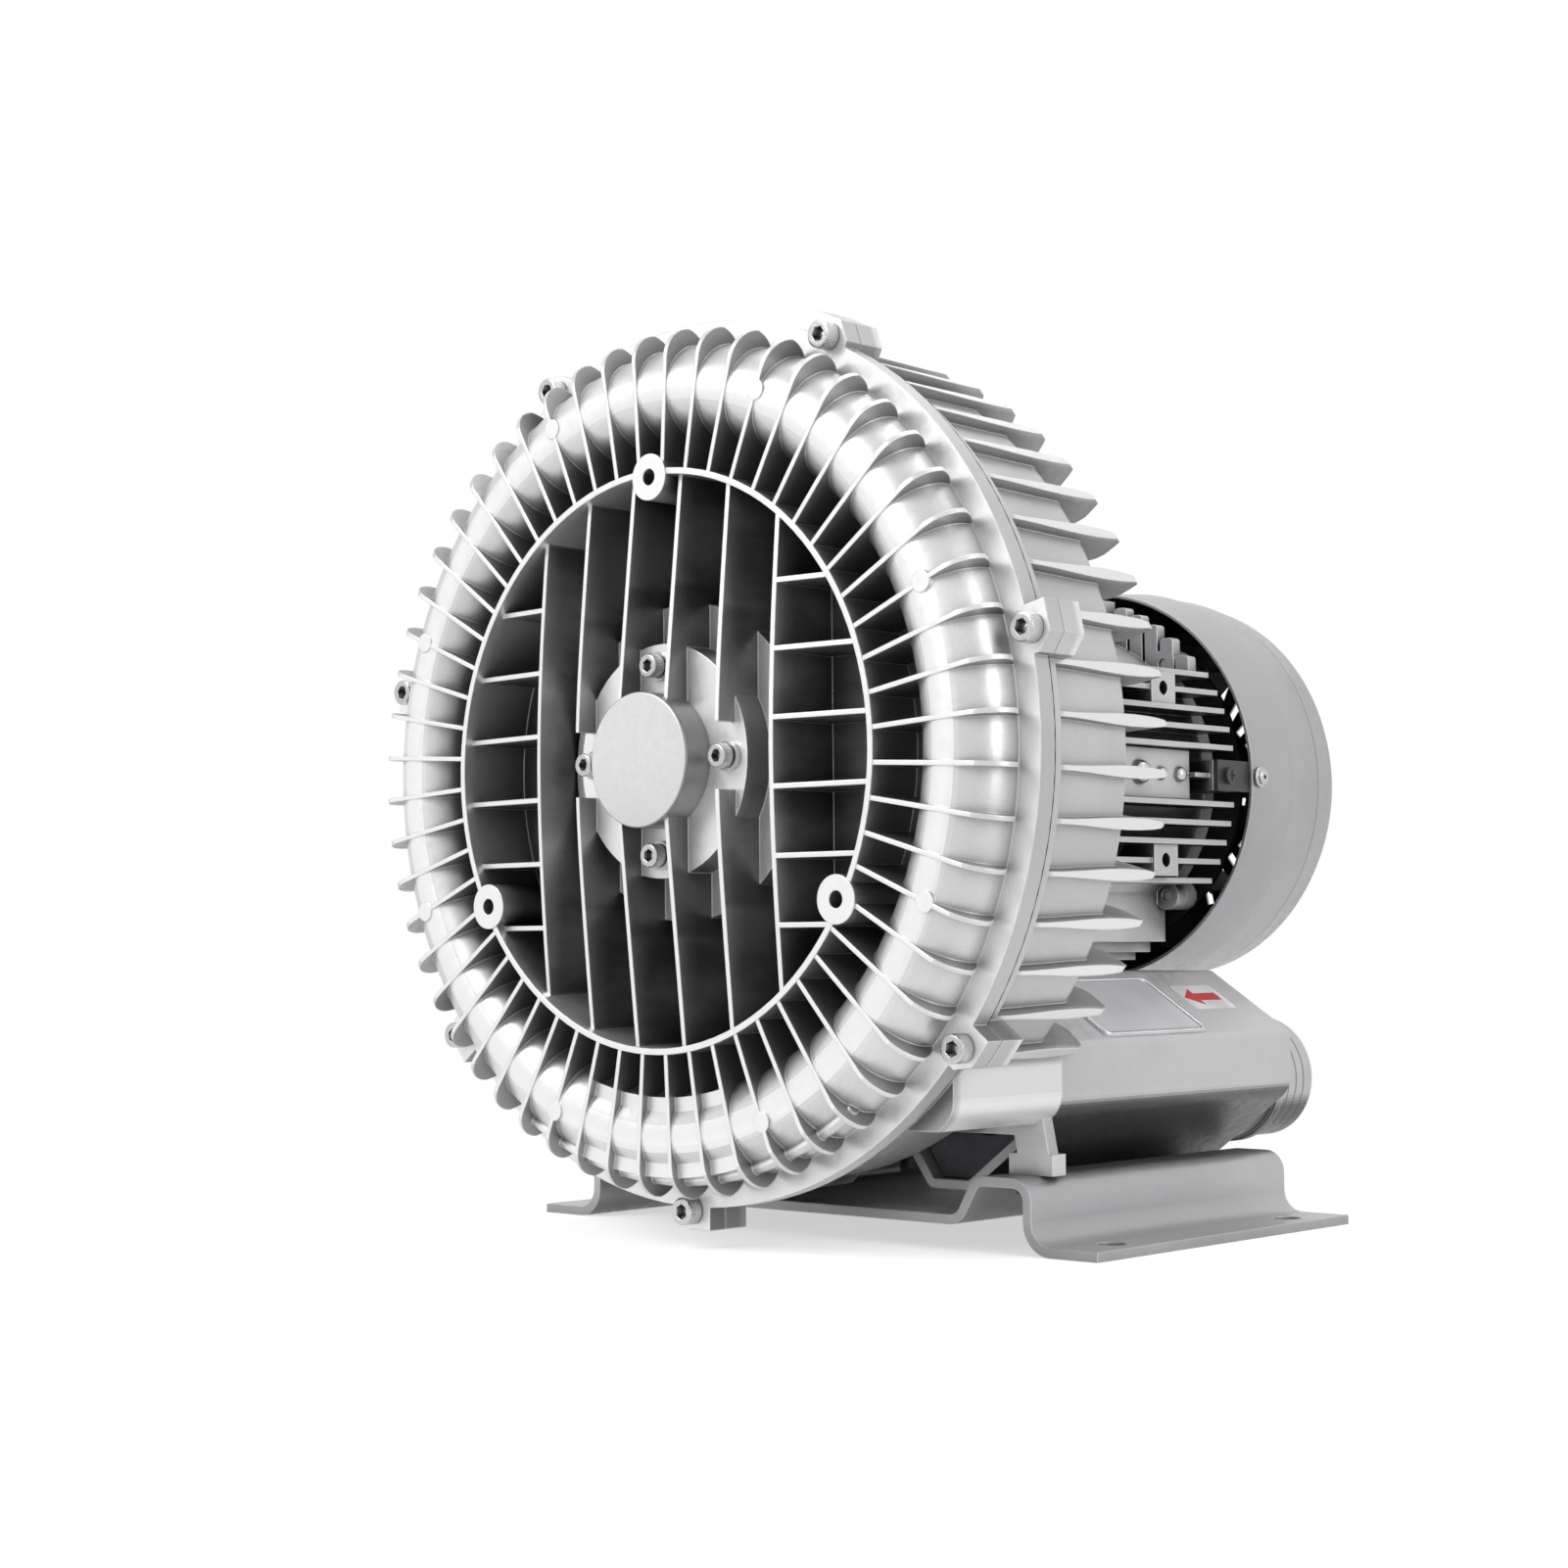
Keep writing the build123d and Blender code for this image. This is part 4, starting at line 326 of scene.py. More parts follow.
def housing_finish():
    g = Graph("silver_housing")
    tone, flake = spray(g, (0.62, 0.62, 0.63), (0.53, 0.53, 0.54))
    behind = g.between(g.part(1), RIM_Y + FLANGE_BACK - 2 * MM, RIM_Y + FLANGE_BACK + 2 * MM)
    crest = g.between(shaft_distance(g), FIN_TIP_R - 1 * MM, FIN_TIP_R + 1 * MM)
    crest = g.math("MULTIPLY", behind, crest)
    tone = g.darken(flank(g), g.mix(crest, tone, (0.80, 0.80, 0.81)), 0.55)
    g.set(Metallic=0.5)
    return cast_finish(g, tone, flake, 18 * MM, 0.42, (0.92, 0.92, 0.93), 0.36)


def motor_finish():
    g = Graph("motor_silver")
    tone, flake = spray(g, (0.60, 0.60, 0.61), (0.48, 0.48, 0.49))
    g.set(Metallic=0.55)
    return cast_finish(g, tone, flake, 16 * MM, 0.06, (0.90, 0.90, 0.91), 0.34)


silver_housing = housing_finish()
motor_silver = motor_finish()
print("housing and motor paint made")


# %% [markdown]
# ## Silencers and ports
# The two silencers are smooth castings in satin silver. Their undersides see only the foot plate, so
# they are darkened as painted shade by the way they face. A port is turned where the hose sits, and
# three fine lines show it. Grooves in the mesh would do the same, but the CAD pieces are not changed
# here.

# %% Silencers and ports
TURNED_LINES = (293 * MM, 299 * MM, 305 * MM)


def silencer_finish(name, joints=()):
    """Satin silver with painted shade on downward faces; joints are the depths of turned lines, in
    metres.
    """
    g = Graph(name)
    tone, flake = spray(g, (0.58, 0.58, 0.59), (0.51, 0.51, 0.52))
    # Painted shade on faces that look down.
    below = g.between(g.facing(2), -0.2, -0.5)
    tone = g.darken(below, tone, 0.18)
    for depth in joints:
        tone = g.darken(g.between(g.away_from(depth), 0.7 * MM, 0.2 * MM), tone, 0.35)
    g.set(Metallic=0.5)
    return cast_finish(g, tone, flake, 12 * MM, 0.35, (0.80, 0.80, 0.81), 0.36)


silencer_silver = silencer_finish("silencer_silver")
port_silver = silencer_finish("port_silver", joints=TURNED_LINES)
print("silencer and port paint made")


# %% [markdown]
# ## The fan cowl
# The cowl is pressed from sheet and painted grey outside. Inside, where the fan turns, it is coloured
# near black as painted shade. One mesh holds both sides, so the material tells them apart by the way each
# face looks: at the shaft or away from it. Two pressed creases run round it, drawn as fine lines of
# painted shade.

# %% Cowl
CREASES = (323 * MM, 347 * MM)
GRILLE_FROM = 330 * MM
# Near black for the inside of the cowl, a painted shade.
COWL_INSIDE_SHADE = (0.012, 0.012, 0.013)


def cowl_finish():
    """Grey sheet paint outside and near-black painted shade inside, where the fan turns."""
    g = Graph("cowl_paint")
    tone, flake = spray(g, (0.45, 0.45, 0.46), (0.39, 0.39, 0.40))
    # Painted shade along the two creases.
    for crease in CREASES:
        tone = g.darken(g.between(g.away_from(crease), 0.9 * MM, 0.3 * MM), tone, 0.62)
    # Painted shade: near black on the inner faces and the back disc.
    looks_forward = g.between(g.math("MULTIPLY", g.facing(1), -1.0), 0.5, 0.9)
    far_back = g.between(g.part(1), RIM_Y + GRILLE_FROM, RIM_Y + GRILLE_FROM + 10 * MM)
    inner_disc = g.math("MULTIPLY", looks_forward, far_back)
    inner = g.math("MAXIMUM", g.between(outward(g), -0.05, -0.3), inner_disc)
    tone = g.mix(inner, tone, COWL_INSIDE_SHADE)
    g.set(Metallic=g.between(inner, 0.0, 1.0, 0.5, 0.0))
    return cast_finish(g, tone, flake, 2 * MM, 1.0, (0.80, 0.80, 0.81), 0.36)


cowl_grey = cowl_finish()
print("cowl paint made")


# %% [markdown]
# ## Cap and foot
# The bearing cap is faced on a lathe: a bright face, and a rim that looks away from the shaft and is
# darkened as painted shade. The foot is bent sheet with satin paint, darkened as painted shade in its
# bends, where a wide crevice reach finds the neighbouring wall.

# %% Cap and foot
def cap_finish():
    g = Graph("bearing_cap_face")
    tone, flake = spray(g, (0.78, 0.78, 0.79), (0.70, 0.70, 0.71))
    # Painted shade on the rim, which looks away from the shaft.
    tone = g.darken(g.between(outward(g), 0.2, 0.7), tone, 0.42)
    g.set(Metallic=0.55)
    return cast_finish(g, tone, flake, 6 * MM, 0.45, (0.88, 0.88, 0.89), 0.36)


def foot_finish():
    g = Graph("foot_paint")
    tone, flake = spray(g, (0.52, 0.52, 0.53), (0.45, 0.45, 0.46))
    g.set(Metallic=0.5)
    # Painted shade in the bends, from the wide crevice reach.
    return cast_finish(g, tone, flake, 30 * MM, 0.40, (0.84, 0.84, 0.85), 0.36)


cap_metal = cap_finish()
foot_silver = foot_finish()
print("cap and foot finishes made")


# %% [markdown]
# ## The name plate
# The plate is a pale film with a fine border. The border could be modelled, but it is only half a
# millimetre wide and hardly stands proud, so the material draws it: the smaller distance to the
# plate's ends and sides says where the line runs. The plate slopes, so its short side is longer than
# its reach in X.

# %% Name plate
BORDER_INSET = 2.4 * MM
LEVEL_SHARE = SLOPE_ACROSS / math.hypot(SLOPE_ACROSS, SLOPE_DROP)


def to_side(g, axis, low, high):
    """Distance along one axis to the nearer of two sides."""
    here = g.part(axis)
    return g.math("MINIMUM", g.math("SUBTRACT", here, low), g.math("SUBTRACT", high, here))


def label_finish():
    g = Graph("label_film")
    low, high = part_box("label_plate")
    tone = g.mix(g.between(g.noise(25.0, 2.0), 0.4, 0.6), (0.74, 0.73, 0.75), (0.68, 0.68, 0.70))
    ends = to_side(g, 1, low.y, high.y)
    sides = g.math("DIVIDE", to_side(g, 0, low.x, high.x), LEVEL_SHARE)
    inset = g.math("SUBTRACT", g.math("MINIMUM", ends, sides), BORDER_INSET)
    line = g.between(g.math("ABSOLUTE", inset), 0.45 * MM, 0.2 * MM)
    tone = g.darken(line, tone, 0.55)
    g.set(Base_Color=tone, Metallic=0.35, Roughness=0.30)
    g.relief([(line, 0.4, 0.2 * MM)], rounding=0.5 * MM)
    return g.material


label_silver = label_finish()
print("name plate film made")


# %% [markdown]
# ## Plain metals, plastic and rubber
# Turned and ground parts differ from paint: their grain is finer, their edges wear bright, which is also
# a painted highlight, and their crevices are darkened as painted shade. Plastic, rubber, foam and film
# have no metal in them and a soft, slightly smeared gloss. Image textures would need every part unrolled
# first, so two helpers make the grain from noise instead.

# %% Other finishes
def plain_metal(name, base, rough, grain=(1, 1, 1)):
    g = Graph(name)
    lines = g.noise(700.0, 2.0, stretch=grain)
    stain = g.noise(40.0, 3.0)
    dark = tuple(0.72 * channel for channel in base)
    tone = g.mix(g.between(stain, 0.40, 0.75, 0.0, 0.6), base, dark)
    light = tuple(min(1.0, 1.3 * channel) for channel in base)
    # Bright edges: wear, and a painted highlight.
    tone = g.mix(g.math("MULTIPLY", g.edges(0.4 * MM), 0.5), tone, light)
    # Painted shade in crevices.
    tone = g.darken(g.crevice(4 * MM), tone, 0.15)
    g.set(Base_Color=tone, Metallic=1.0)
    g.set(Roughness=g.between(lines, 0.3, 0.7, rough - 0.06, rough + 0.08))
    g.relief([(lines, 0.2, 0.05 * MM)], rounding=0.35 * MM)
    return g.material


def soft_plastic(name, base, rough):
    g = Graph(name)
    grain = g.noise(1200.0, 2.0)
    smear = g.noise(30.0, 3.0)
    tone = g.mix(g.between(smear, 0.4, 0.7), base, tuple(1.6 * c + 0.01 for c in base))
    g.set(Base_Color=tone, Metallic=0.0)
    g.set(Roughness=g.between(smear, 0.3, 0.7, rough - 0.06, rough + 0.08))
    g.relief([(grain, 0.3, 0.08 * MM)], rounding=0.3 * MM)
    return g.material


zinc = plain_metal("zinc_screws", (0.55, 0.55, 0.56), 0.26)
ground_steel = plain_metal("ground_steel", (0.60, 0.60, 0.62), 0.22)
machined = plain_metal("machined_aluminium", (0.80, 0.80, 0.82), 0.30)
laminations = plain_metal("laminations", (0.26, 0.26, 0.27), 0.45, grain=(1, 12, 1))
copper = plain_metal("copper_winding", (0.60, 0.28, 0.12), 0.35)
black_nylon = soft_plastic("black_nylon", (0.025, 0.025, 0.027), 0.45)
black_rubber = soft_plastic("black_rubber", (0.018, 0.018, 0.018), 0.70)
black_steel = soft_plastic("black_steel", (0.03, 0.03, 0.032), 0.35)
foam = soft_plastic("grey_foam", (0.10, 0.10, 0.11), 0.95)
red_film = soft_plastic("red_film", (0.46, 0.004, 0.006), 0.35)
pale_film = soft_plastic("pale_film", (0.66, 0.64, 0.66), 0.30)
print("metals, plastics and films made")

# %% [markdown]
# ## Dress the CAD nodes
# One table says which finish each node wears, so nothing is missed and a change is made in one place.
# Screws, bolts and the like are found by their names, and whatever is left is ground steel: shaft,
# rings, balls and nuts.

# %% Give each node its finish
FINISH = {
    "front_cover": silver_cover,
    "pump_housing": silver_housing,
    "bearing_cap": cap_metal,
    "motor_frame": motor_silver,
    "rear_end_shield": motor_silver,
    "fan_cowl": cowl_grey,
    "terminal_box": cowl_grey,
    "terminal_lid": cowl_grey,
    "cowl_brackets": black_steel,
    "bracket_screws": black_steel,
    "foot_plate": foot_silver,
    "label_plate": label_silver,
    "inlet_silencer": silencer_silver,
    "outlet_silencer": silencer_silver,
    "inlet_port": port_silver,
    "outlet_port": port_silver,
    "impeller": machined,
    "bearing_retainer": machined,
    "rotor_core": laminations,
    "stator_core": laminations,
    "stator_windings": copper,
    "cooling_fan": black_nylon,
    "terminal_block": black_nylon,
    "cable_gland": black_nylon,
    "front_bearing_cage": black_nylon,
    "rear_bearing_cage": black_nylon,
    "front_shaft_seal": black_rubber,
    "rear_shaft_seal": black_rubber,
    "cover_gasket": black_rubber,
    "terminal_gasket": black_rubber,
    "inlet_foam": foam,
    "outlet_foam": foam,
    "inlet_arrow": red_film,
    "outlet_arrow": red_film,
}
FASTENERS = ("screws", "bolts", "rivets", "washers")


def finish_of(name):
    if name in FINISH:
        return FINISH[name]
    return zinc if any(word in name for word in FASTENERS) else ground_steel


for name, node in nodes.items():
    node.data.materials.clear()
    node.data.materials.append(finish_of(name))
print("dressed", len(nodes), "nodes")

# %% [markdown]
# ## Meshes from rows of points
# A screw, a film and a wire frame are all closed skins over rows of points. Blender's primitives could
# be joined with booleans, but those leave ragged faces. Here each row is given as points, neighbouring
# rows are joined with four-sided faces, and the ends are capped unless the last row meets the first.

# %% One closed skin
def skin(name, rows, joined=False, smooth=False):
    """A closed mesh over rows of points; its ends are capped, or joined to each other."""
    made = bmesh.new()
    rings = [[made.verts.new(point) for point in row] for row in rows]
    for first, second in zip(rings, rings[1:] + (rings[:1] if joined else [])):
        for k in range(len(first)):
            after = (k + 1) % len(first)
            made.faces.new((first[k], first[after], second[after], second[k]))
    if not joined:
        made.faces.new(rings[0][::-1])
        made.faces.new(rings[-1])
    bmesh.ops.recalc_face_normals(made, faces=made.faces)
    for face in made.faces:
        face.smooth = smooth
    mesh = bpy.data.meshes.new(name)
    made.to_mesh(mesh)
    made.free()
    return mesh


print("skin helper ready")


# %% [markdown]
# ## Screws that repeat round the shaft
# The cover is held by cap head screws, and so is the bearing cap. The cowl has low domed screws with a
# washer face. They could be copied from a parts library, but a screw is a turned piece, so it is made
# as one: rings of points along its axis, where a ring can be round, six-sided for the socket or the
# spanner, or notched for the knurl.

# %% Turned meshes
AROUND = 72
KNURL_CUT = 0.16
PITCH_SHARE = 0.35  # of the thread's radius
ROOT_SHARE = 0.86
POINT_SHARE = 0.8


def hexagon(across):
    """Radius of a hexagon's outline at each of the ring's angles."""
    radii = []
    for k in range(AROUND):
        off = math.radians((360.0 * k / AROUND) % 60.0 - 30.0)
        radii.append(across / 2 / math.cos(off))
    return radii


def knurled(radius):
    return [radius - (KNURL_CUT if k % 2 else 0.0) for k in range(AROUND)]


def turn(name, rings):
    """A closed mesh along +Y from (radius or list of radii, place along the axis), in mm."""
    rows = []
    for radii, along in rings:
        if not isinstance(radii, list):
            radii = [radii] * AROUND
        row = []
        for k, radius in enumerate(radii):
            angle = 2 * math.pi * k / AROUND
            row.append((radius * MM * math.cos(angle), along * MM, radius * MM * math.sin(angle)))
        rows.append(row)
    return skin(name, rows)


def cap_head_screw(name, thread, length):
    """Head towards -Y, seat at y = 0: hexagon socket, knurled side, chamfers, thread."""
    head, tall, across = 1.6 * thread, 2.0 * thread, 1.5 * thread
    floor_at = -1.1 * thread
    rings = [
        (0.15, floor_at - 0.5), (hexagon(across), floor_at), (hexagon(across), 0.35 - tall),
        (hexagon(across * 1.12), -tall), (head - 0.9, -tall), (head - 0.35, 0.15 - tall),
        (head - 0.05, 0.6 - tall), (knurled(head), 0.9 - tall), (knurled(head), -0.7),
        (head - 0.1, -0.45), (head - 0.3, -0.05), (thread, 0.0),
    ]
    pitch = PITCH_SHARE * thread
    along = 0.4
    while along + pitch < length - 0.6:
        rings += [(thread, along), (ROOT_SHARE * thread, along + pitch / 2)]
        along += pitch
    rings += [(thread, length - 0.6), (POINT_SHARE * thread, length)]
    return turn(name, rings)


def cowl_screw(name, head, thread, length):
    """A low dome over a hexagon with its own washer, seat at y = 0, head towards -Y."""
    rings = [
        (0.3, -1.7), (0.9, -1.75), (1.0, -2.62), (1.9, -2.74), (2.5, -2.6), (hexagon(6.3), -2.2),
        (hexagon(6.6), -1.15), (head - 0.9, -1.05), (head - 0.15, -0.85), (head, -0.6), (head, -0.12),
        (head - 0.2, 0.0), (thread, 0.0), (thread, length - 0.5), (POINT_SHARE * thread, length),
    ]
    return turn(name, rings)


print("turned meshes ready")


# %% [markdown]
# ## The ring in Geometry Nodes
# Screws stand evenly round the shaft. An array modifier about an empty could set them out, but it would
# need one more object for each ring. Here a line of points is bent into a ring by each point's index,
# and every point takes one screw, turned with it. The group's inputs are named, so the same group
# serves the clamp, hub and cowl screws, and it ends in real faces, which an export needs.

# %% Ring group
RING_INPUTS = (
    ("Piece", "NodeSocketObject"), ("Count", "NodeSocketInt"), ("Radius", "NodeSocketFloat"),
    ("Start", "NodeSocketFloat"), ("Depth", "NodeSocketFloat"), ("Tilt", "NodeSocketFloat"),
    ("Finish", "NodeSocketMaterial"),
)


def ring_group():
    group = bpy.data.node_groups.new("ring_of_screws", "GeometryNodeTree")
    group.interface.new_socket("Geometry", in_out="OUTPUT", socket_type="NodeSocketGeometry")
    for name, kind in RING_INPUTS:
        group.interface.new_socket(name, in_out="INPUT", socket_type=kind)
    made = group.nodes.new
    link = group.links.new
    given = made("NodeGroupInput").outputs
    result = made("NodeGroupOutput").inputs

    def calc(operation, first, second=None):
        step = made("ShaderNodeMath")
        step.operation = operation
        for socket, value in zip(step.inputs, (first, second)):
            if isinstance(value, bpy.types.NodeSocket):
                link(value, socket)
            elif value is not None:
                socket.default_value = value
        return step.outputs[0]

    def on_ring(direction, centre):
        """X or Z of the point that stands at the angle, from the shaft's own X or Z."""
        return calc("ADD", calc("MULTIPLY", given["Radius"], calc(direction, angle)), centre)

    line = made("GeometryNodeMeshLine")
    link(given["Count"], line.inputs["Count"])
    index = made("GeometryNodeInputIndex").outputs[0]
    share = calc("DIVIDE", index, given["Count"])
    angle = calc("ADD", given["Start"], calc("MULTIPLY", share, 2 * math.pi))
    place = made("ShaderNodeCombineXYZ")
    link(on_ring("COSINE", SHAFT_X), place.inputs[0])
    link(given["Depth"], place.inputs[1])
    link(on_ring("SINE", SHAFT_Z), place.inputs[2])
    move = made("GeometryNodeSetPosition")
    link(line.outputs[0], move.inputs["Geometry"])
    link(place.outputs[0], move.inputs["Position"])
    turned_by = made("ShaderNodeCombineXYZ")
    link(calc("MULTIPLY", angle, -1.0), turned_by.inputs[1])
    link(given["Tilt"], turned_by.inputs[2])
    piece = made("GeometryNodeObjectInfo")
    link(given["Piece"], piece.inputs["Object"])
    spread = made("GeometryNodeInstanceOnPoints")
    link(move.outputs[0], spread.inputs["Points"])
    link(piece.outputs["Geometry"], spread.inputs["Instance"])
    link(turned_by.outputs[0], spread.inputs["Rotation"])
    real = made("GeometryNodeRealizeInstances")
    link(spread.outputs[0], real.inputs[0])
    dress = made("GeometryNodeSetMaterial")
    link(real.outputs[0], dress.inputs["Geometry"])
    link(given["Finish"], dress.inputs["Material"])
    link(dress.outputs[0], result[0])
    return group


RING = ring_group()
INPUT = {item.name: item.identifier for item in RING.interface.items_tree if item.in_out == "INPUT"}
print("ring group with inputs", ", ".join(INPUT))


# %% [markdown]
# ## From the ring to a plain mesh
# A modifier stays live and has to be solved wherever the piece goes. So the ring is solved once, its
# result is kept as a plain mesh, and the helpers are removed. The piece then stands for the plain CAD
# screws of that ring, exactly where they are, and rides on the fixed machine as they do.

# %% Rings of screws
CLAMP_COUNT, CLAMP_R, CLAMP_SEAT = 7, 181.4, 22.0
HUB_COUNT, HUB_R, HUB_SEAT = 4, 38.2, 3.7
COWL_COUNT = 4
COWL_FRONT, COWL_FRONT_R = 293.4, 92.2
COWL_FLARE_END, COWL_FLARE = 322.5, 2.5
COWL_HEAD_AT, COWL_HEAD_R = 298.7, 4.7
RUN = 0.05


def ring_of(name, mesh, count, radius, start, depth, finish, tilt=0.0):
    """One plain mesh object that holds the whole ring of pieces."""
    piece = bpy.data.objects.new(name + "_one", mesh)
    holder = bpy.data.objects.new(name + "_ring", bpy.data.meshes.new(name + "_ring"))
    bpy.context.scene.collection.objects.link(piece)
    bpy.context.scene.collection.objects.link(holder)
    ring = holder.modifiers.new("ring", "NODES")
    ring.node_group = RING
    values = {"Piece": piece, "Count": count, "Radius": radius * MM, "Start": math.radians(start),
              "Depth": RIM_Y + depth * MM, "Tilt": math.radians(tilt), "Finish": finish}
    for key, value in values.items():
        ring[INPUT[key]] = value
    bpy.context.view_layer.update()
    solved = holder.evaluated_get(bpy.context.evaluated_depsgraph_get())
    plain = bpy.data.meshes.new_from_object(solved)
    plain.name = name
    for polygon in plain.polygons:
        polygon.use_smooth = False
    for used in (holder, piece):
        bpy.data.objects.remove(used)
    made = bpy.data.objects.new(name, plain)
    bpy.context.scene.collection.objects.link(made)
    print(name, len(plain.polygons), "faces")
    return made


def stands_for(piece, node):
    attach(piece, "root")
    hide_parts(node)


clamp_screw = cap_head_screw("clamp_screw", thread=3.5, length=19.0)
clamp = ring_of("clamp_screws", clamp_screw, CLAMP_COUNT, CLAMP_R, 270.0, CLAMP_SEAT, zinc)
stands_for(clamp, "cover_screws")

cap_screw = cap_head_screw("cap_screw", thread=3.0, length=31.3)
hub = ring_of("cap_screws", cap_screw, HUB_COUNT, HUB_R, 0.0, HUB_SEAT, zinc)
stands_for(hub, "hub_screws")

# The cowl widens towards its back, so a head rests on the widest place that it reaches.
reach = (COWL_HEAD_AT + COWL_HEAD_R - COWL_FRONT) / (COWL_FLARE_END - COWL_FRONT)
SEAT_R = COWL_FRONT_R + reach * COWL_FLARE + RUN
cowl_one = cowl_screw("cowl_screw_one", COWL_HEAD_R, thread=2.0, length=9.0)
cowl_heads = ring_of("cowl_head_screws", cowl_one, COWL_COUNT, SEAT_R, 0.0, COWL_HEAD_AT, zinc, tilt=90.0)
stands_for(cowl_heads, "cowl_screws")


# %% [markdown]
# ## The slope of the silencer
# The inlet arrow is printed on a clear film with a pale ground, and the name plate has a raised frame.
# Both could be drawn by the material, but they stand proud and catch the light, so they are meshes.
# They lie on the same slope, so they share its two directions: down the slope and out of it.

# %% Directions and outline on the slope
DOWN = Vector((SLOPE_ACROSS, 0.0, -SLOPE_DROP)).normalized()
OUT = Vector((SLOPE_DROP, 0.0, SLOPE_ACROSS)).normalized()
SLOPE_MIDDLE = Vector((SHAFT_X + 104.5 * MM, RIM_Y, SHAFT_Z - 101.5 * MM))


def on_slope(down, depth, out):
    return SLOPE_MIDDLE + DOWN * down * MM + Vector((0, depth * MM, 0)) + OUT * out * MM


def rounded_rectangle(half_down, half_deep, radius, steps=8):
    points = []
    for corner in range(4):
        turn_by = math.radians(90 * corner)
        sign_down = 1 if corner in (0, 3) else -1
        sign_deep = 1 if corner in (0, 1) else -1
        for k in range(steps + 1):
            angle = turn_by + math.radians(90 * k / steps)
            points.append((sign_down * (half_down - radius) + radius * math.cos(angle),
                           sign_deep * (half_deep - radius) + radius * math.sin(angle)))
    return points


def lay(name, mesh, finish):
    """Lays a finished mesh on the fixed machine."""
    mesh.materials.append(finish)
    piece = bpy.data.objects.new(name, mesh)
    bpy.context.scene.collection.objects.link(piece)
    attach(piece, "root")
    print(name, len(mesh.polygons), "faces")


print("slope falls", round(math.degrees(math.atan2(SLOPE_DROP, SLOPE_ACROSS)), 1), "degrees")


# %% [markdown]
# ## Film and frame
# A film is a rounded outline raised twice, the second time a little smaller, which softens its rim. The
# frame is a round wire that follows a rounded outline: a ring of eight points stands at each of the
# outline's points, square to the way the wire runs there.

# %% Film behind the arrow and the plate's frame
FILM_CORNER_R = 2.0
FILM_SOFTENING = 0.12
FRAME_CORNER_R = 4.0
WIRE_SIDES = 8


def film(down, depth, half_down, half_deep, thick):
    """Rows of points of a thin sheet with rounded corners and a softened rim."""
    rows = []
    for inset, out in ((0.0, 0.0), (0.0, thick * 0.6), (FILM_SOFTENING, thick)):
        outline = rounded_rectangle(half_down - inset, half_deep - inset, FILM_CORNER_R)
        rows.append([on_slope(down + a, depth + b, out) for a, b in outline])
    return rows


def wire(down, depth, half_down, half_deep, radius, out):
    """Rows of points of a round wire frame with rounded corners."""
    outline = rounded_rectangle(half_down, half_deep, FRAME_CORNER_R)
    rows = []
    for k, (a, b) in enumerate(outline):
        before, after = outline[k - 1], outline[(k + 1) % len(outline)]
        along = Vector((after[0] - before[0], after[1] - before[1])).normalized()
        side = Vector((along.y, -along.x))
        row = []
        for step in range(WIRE_SIDES):
            angle = 2 * math.pi * step / WIRE_SIDES
            offset = side * radius * math.cos(angle)
            lift = out + radius * math.sin(angle)
            row.append(on_slope(down + a + offset.x, depth + b + offset.y, lift))
        rows.append(row)
    return rows


arrow_rows = film(down=-4.2, depth=237.5, half_down=9.0, half_deep=15.5, thick=0.14)
lay("arrow_film", skin("arrow_film", arrow_rows), pale_film)
frame_rows = wire(down=1.0, depth=174.0, half_down=19.2, half_deep=35.0, radius=0.5, out=0.85)
lay("plate_frame", skin("plate_frame", frame_rows, joined=True, smooth=True), machined)

# %% [markdown]
# ## A floor that is white and still holds a shadow
# A plain white plane turns grey towards the horizon, and more light would wash out the machine. So only
# the eye sees a white floor: Light Path tells camera, mirror and glass rays from the rest. Near the
# machine the floor shades as paint does, with a glow on top, so the soft shadow stays, and further out
# it fades to pure white.

# %% Floor
FLOOR_HALF = 6.0
FLOOR_GLOW = 0.55
FADE_FROM, FADE_TO = 0.24, 0.60


def seen_by_eye(tree):
    """1 for camera, mirror and glass rays, which all see the same white surround."""
    path = tree.nodes.new("ShaderNodeLightPath")
    seen = path.outputs["Is Camera Ray"]
    for other in ("Is Glossy Ray", "Is Transmission Ray"):
        most = tree.nodes.new("ShaderNodeMath")
        most.operation = "MAXIMUM"
        tree.links.new(seen, most.inputs[0])
        tree.links.new(path.outputs[other], most.inputs[1])
        seen = most.outputs[0]
    return seen


def blend(g, share, first, second):
    """One shader where share is 0 and the other where it is 1."""
    made = g.node("ShaderNodeMixShader")
    for socket, value in zip(made.inputs, (share, first, second)):
        g.feed(socket, value)
    return made.outputs[0]


def floor_material():
    """White to the eye, with the machine's soft shadow near it and none of the horizon's grey."""
    g = Graph("floor_white")
    g.set(Base_Color=(0.86, 0.86, 0.86), Roughness=0.9)
    g.shader.inputs["Specular IOR Level"].default_value = 0.1
    paint = g.shader.outputs[0]
    glow = g.node("ShaderNodeEmission")
    glow.inputs["Strength"].default_value = FLOOR_GLOW
    plus = g.node("ShaderNodeAddShader")
    g.feed(plus.inputs[0], paint)
    g.feed(plus.inputs[1], glow.outputs[0])
    far = g.node("ShaderNodeEmission")
    distance = g.node("ShaderNodeVectorMath", operation="LENGTH")
    g.feed(distance.inputs[0], g.object_space)
    fade = g.between(distance.outputs["Value"], FADE_FROM, FADE_TO)
    near_or_far = blend(g, fade, plus.outputs[0], far.outputs[0])
    g.feed(g.out.inputs[0], blend(g, seen_by_eye(g.tree), paint, near_or_far))
    return g.material


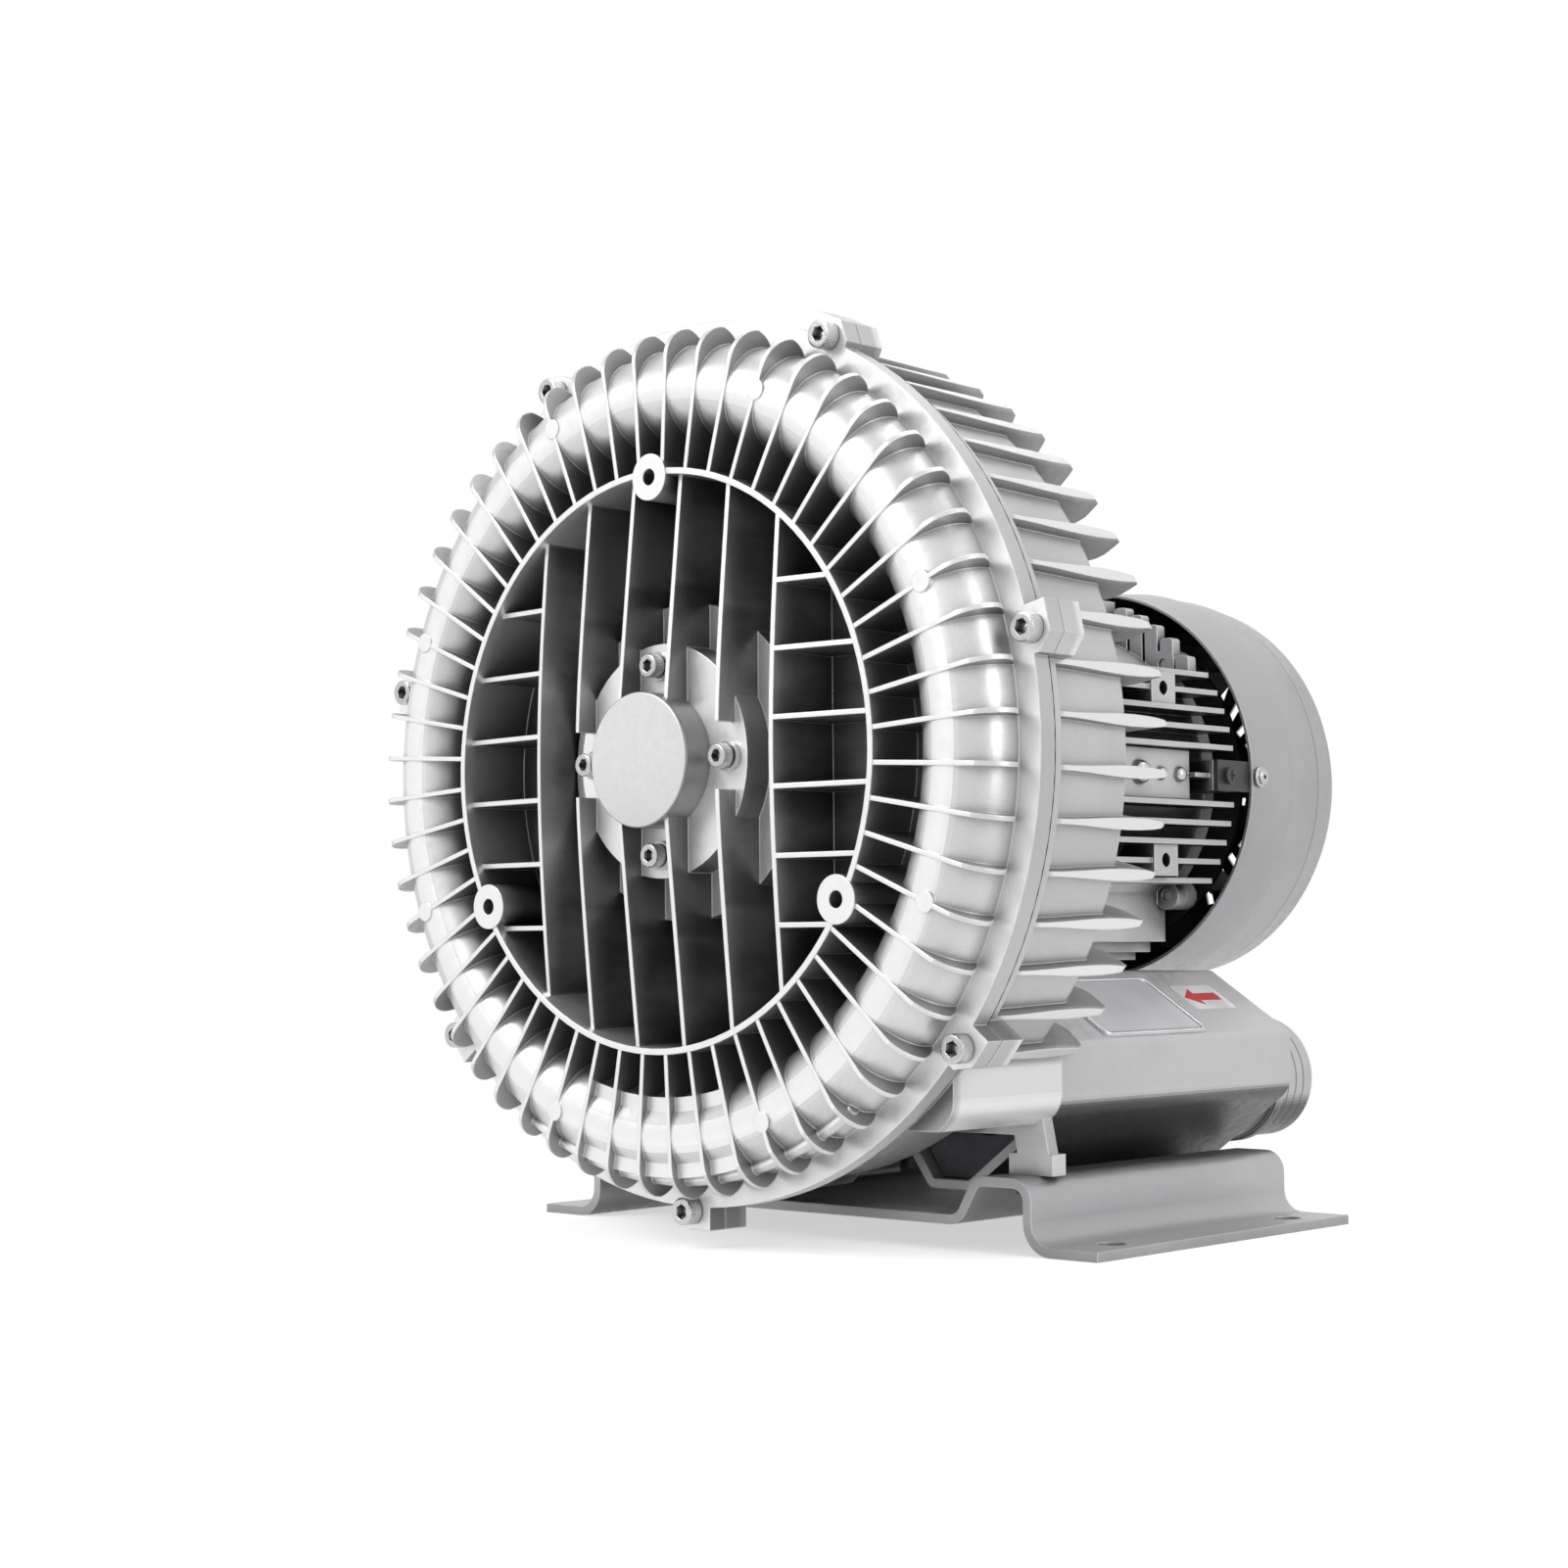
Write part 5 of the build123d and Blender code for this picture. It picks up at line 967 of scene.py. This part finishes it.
corners = [(x * FLOOR_HALF, y * FLOOR_HALF, 0) for x, y in ((-1, -1), (1, -1), (1, 1), (-1, 1))]
floor_mesh = bpy.data.meshes.new("floor")
floor_mesh.from_pydata(corners, [], [(0, 1, 2, 3)])
floor_mesh.materials.append(floor_material())
floor = bpy.data.objects.new("floor", floor_mesh)
bpy.context.scene.collection.objects.link(floor)
print("floor of", 2 * FLOOR_HALF, "m")


# %% [markdown]
# ## World and lamps
# The world is white to the eye and dimmer as a light, so the background stays clean while the lamps
# give the castings their shape. A key lamp in front, a strip at the side and a broad one above are
# enough: more lamps would flatten the ribs.

# %% World and lamps
ROOM_LIGHT = 0.34
MIDDLE = (0.0, 0.0, 0.19)

world = bpy.data.worlds.new("studio")
bpy.context.scene.world = world
world.use_nodes = True
sky = world.node_tree
sky.nodes.clear()
sky_out = sky.nodes.new("ShaderNodeOutputWorld")
choose = sky.nodes.new("ShaderNodeMixShader")
sky.links.new(seen_by_eye(sky), choose.inputs[0])
for socket, strength in zip(choose.inputs[1:], (ROOM_LIGHT, 1.0)):
    white = sky.nodes.new("ShaderNodeBackground")
    white.inputs["Color"].default_value = (1, 1, 1, 1)
    white.inputs["Strength"].default_value = strength
    sky.links.new(white.outputs[0], socket)
sky.links.new(choose.outputs[0], sky_out.inputs[0])


def soft_lamp(name, place, size, watts):
    """A rectangular lamp that looks at the machine's middle."""
    data = bpy.data.lights.new(name, "AREA")
    data.shape = "RECTANGLE"
    data.size, data.size_y = size
    data.energy = watts
    lamp = bpy.data.objects.new(name, data)
    lamp.location = place
    lamp.rotation_euler = (Vector(MIDDLE) - Vector(place)).to_track_quat("-Z", "Y").to_euler()
    bpy.context.scene.collection.objects.link(lamp)


soft_lamp("key_lamp", (-0.6, -1.6, 1.3), (0.9, 0.9), 15)
soft_lamp("side_lamp", (1.8, -0.1, 0.7), (0.6, 1.4), 11)
soft_lamp("top_lamp", (0.1, 0.3, 1.6), (1.2, 1.2), 8)
print(len(bpy.data.lights), "lamps round the machine")

# %% [markdown]
# ## Camera
# A lens of 62 mm about 1.2 m away, a little below the shaft and turned 43 degrees round the machine.
# The camera could be given Euler angles, but the way it looks is easier to read from three numbers:
# the turn round the machine, the rise of the view and its small roll. They give the camera's own
# right, up and forward directions.

# %% Camera
CAMERA_AT = Vector((0.7843, -0.9354, 0.1250))
TURN, RISE, ROLL = math.radians(43.034), math.radians(3.230), math.radians(-0.499)
LENS, SENSOR = 62.49, 36.0  # mm
ahead = Vector((-math.sin(TURN) * math.cos(RISE), math.cos(TURN) * math.cos(RISE), math.sin(RISE)))
level_right = Vector((math.cos(TURN), math.sin(TURN), 0.0))
level_up = level_right.cross(ahead)
right = math.cos(ROLL) * level_right + math.sin(ROLL) * level_up
up = math.cos(ROLL) * level_up - math.sin(ROLL) * level_right
facing = Matrix((right, up, -ahead)).transposed().to_4x4()
camera_data = bpy.data.cameras.new("camera")
camera_data.lens = LENS
camera_data.sensor_width = SENSOR
camera = bpy.data.objects.new("camera", camera_data)
camera.matrix_world = Matrix.Translation(CAMERA_AT) @ facing
bpy.context.scene.collection.objects.link(camera)
bpy.context.scene.camera = camera
bpy.context.scene.view_settings.view_transform = "Standard"
print("camera", round(CAMERA_AT.length, 2), "m from the middle of the floor")
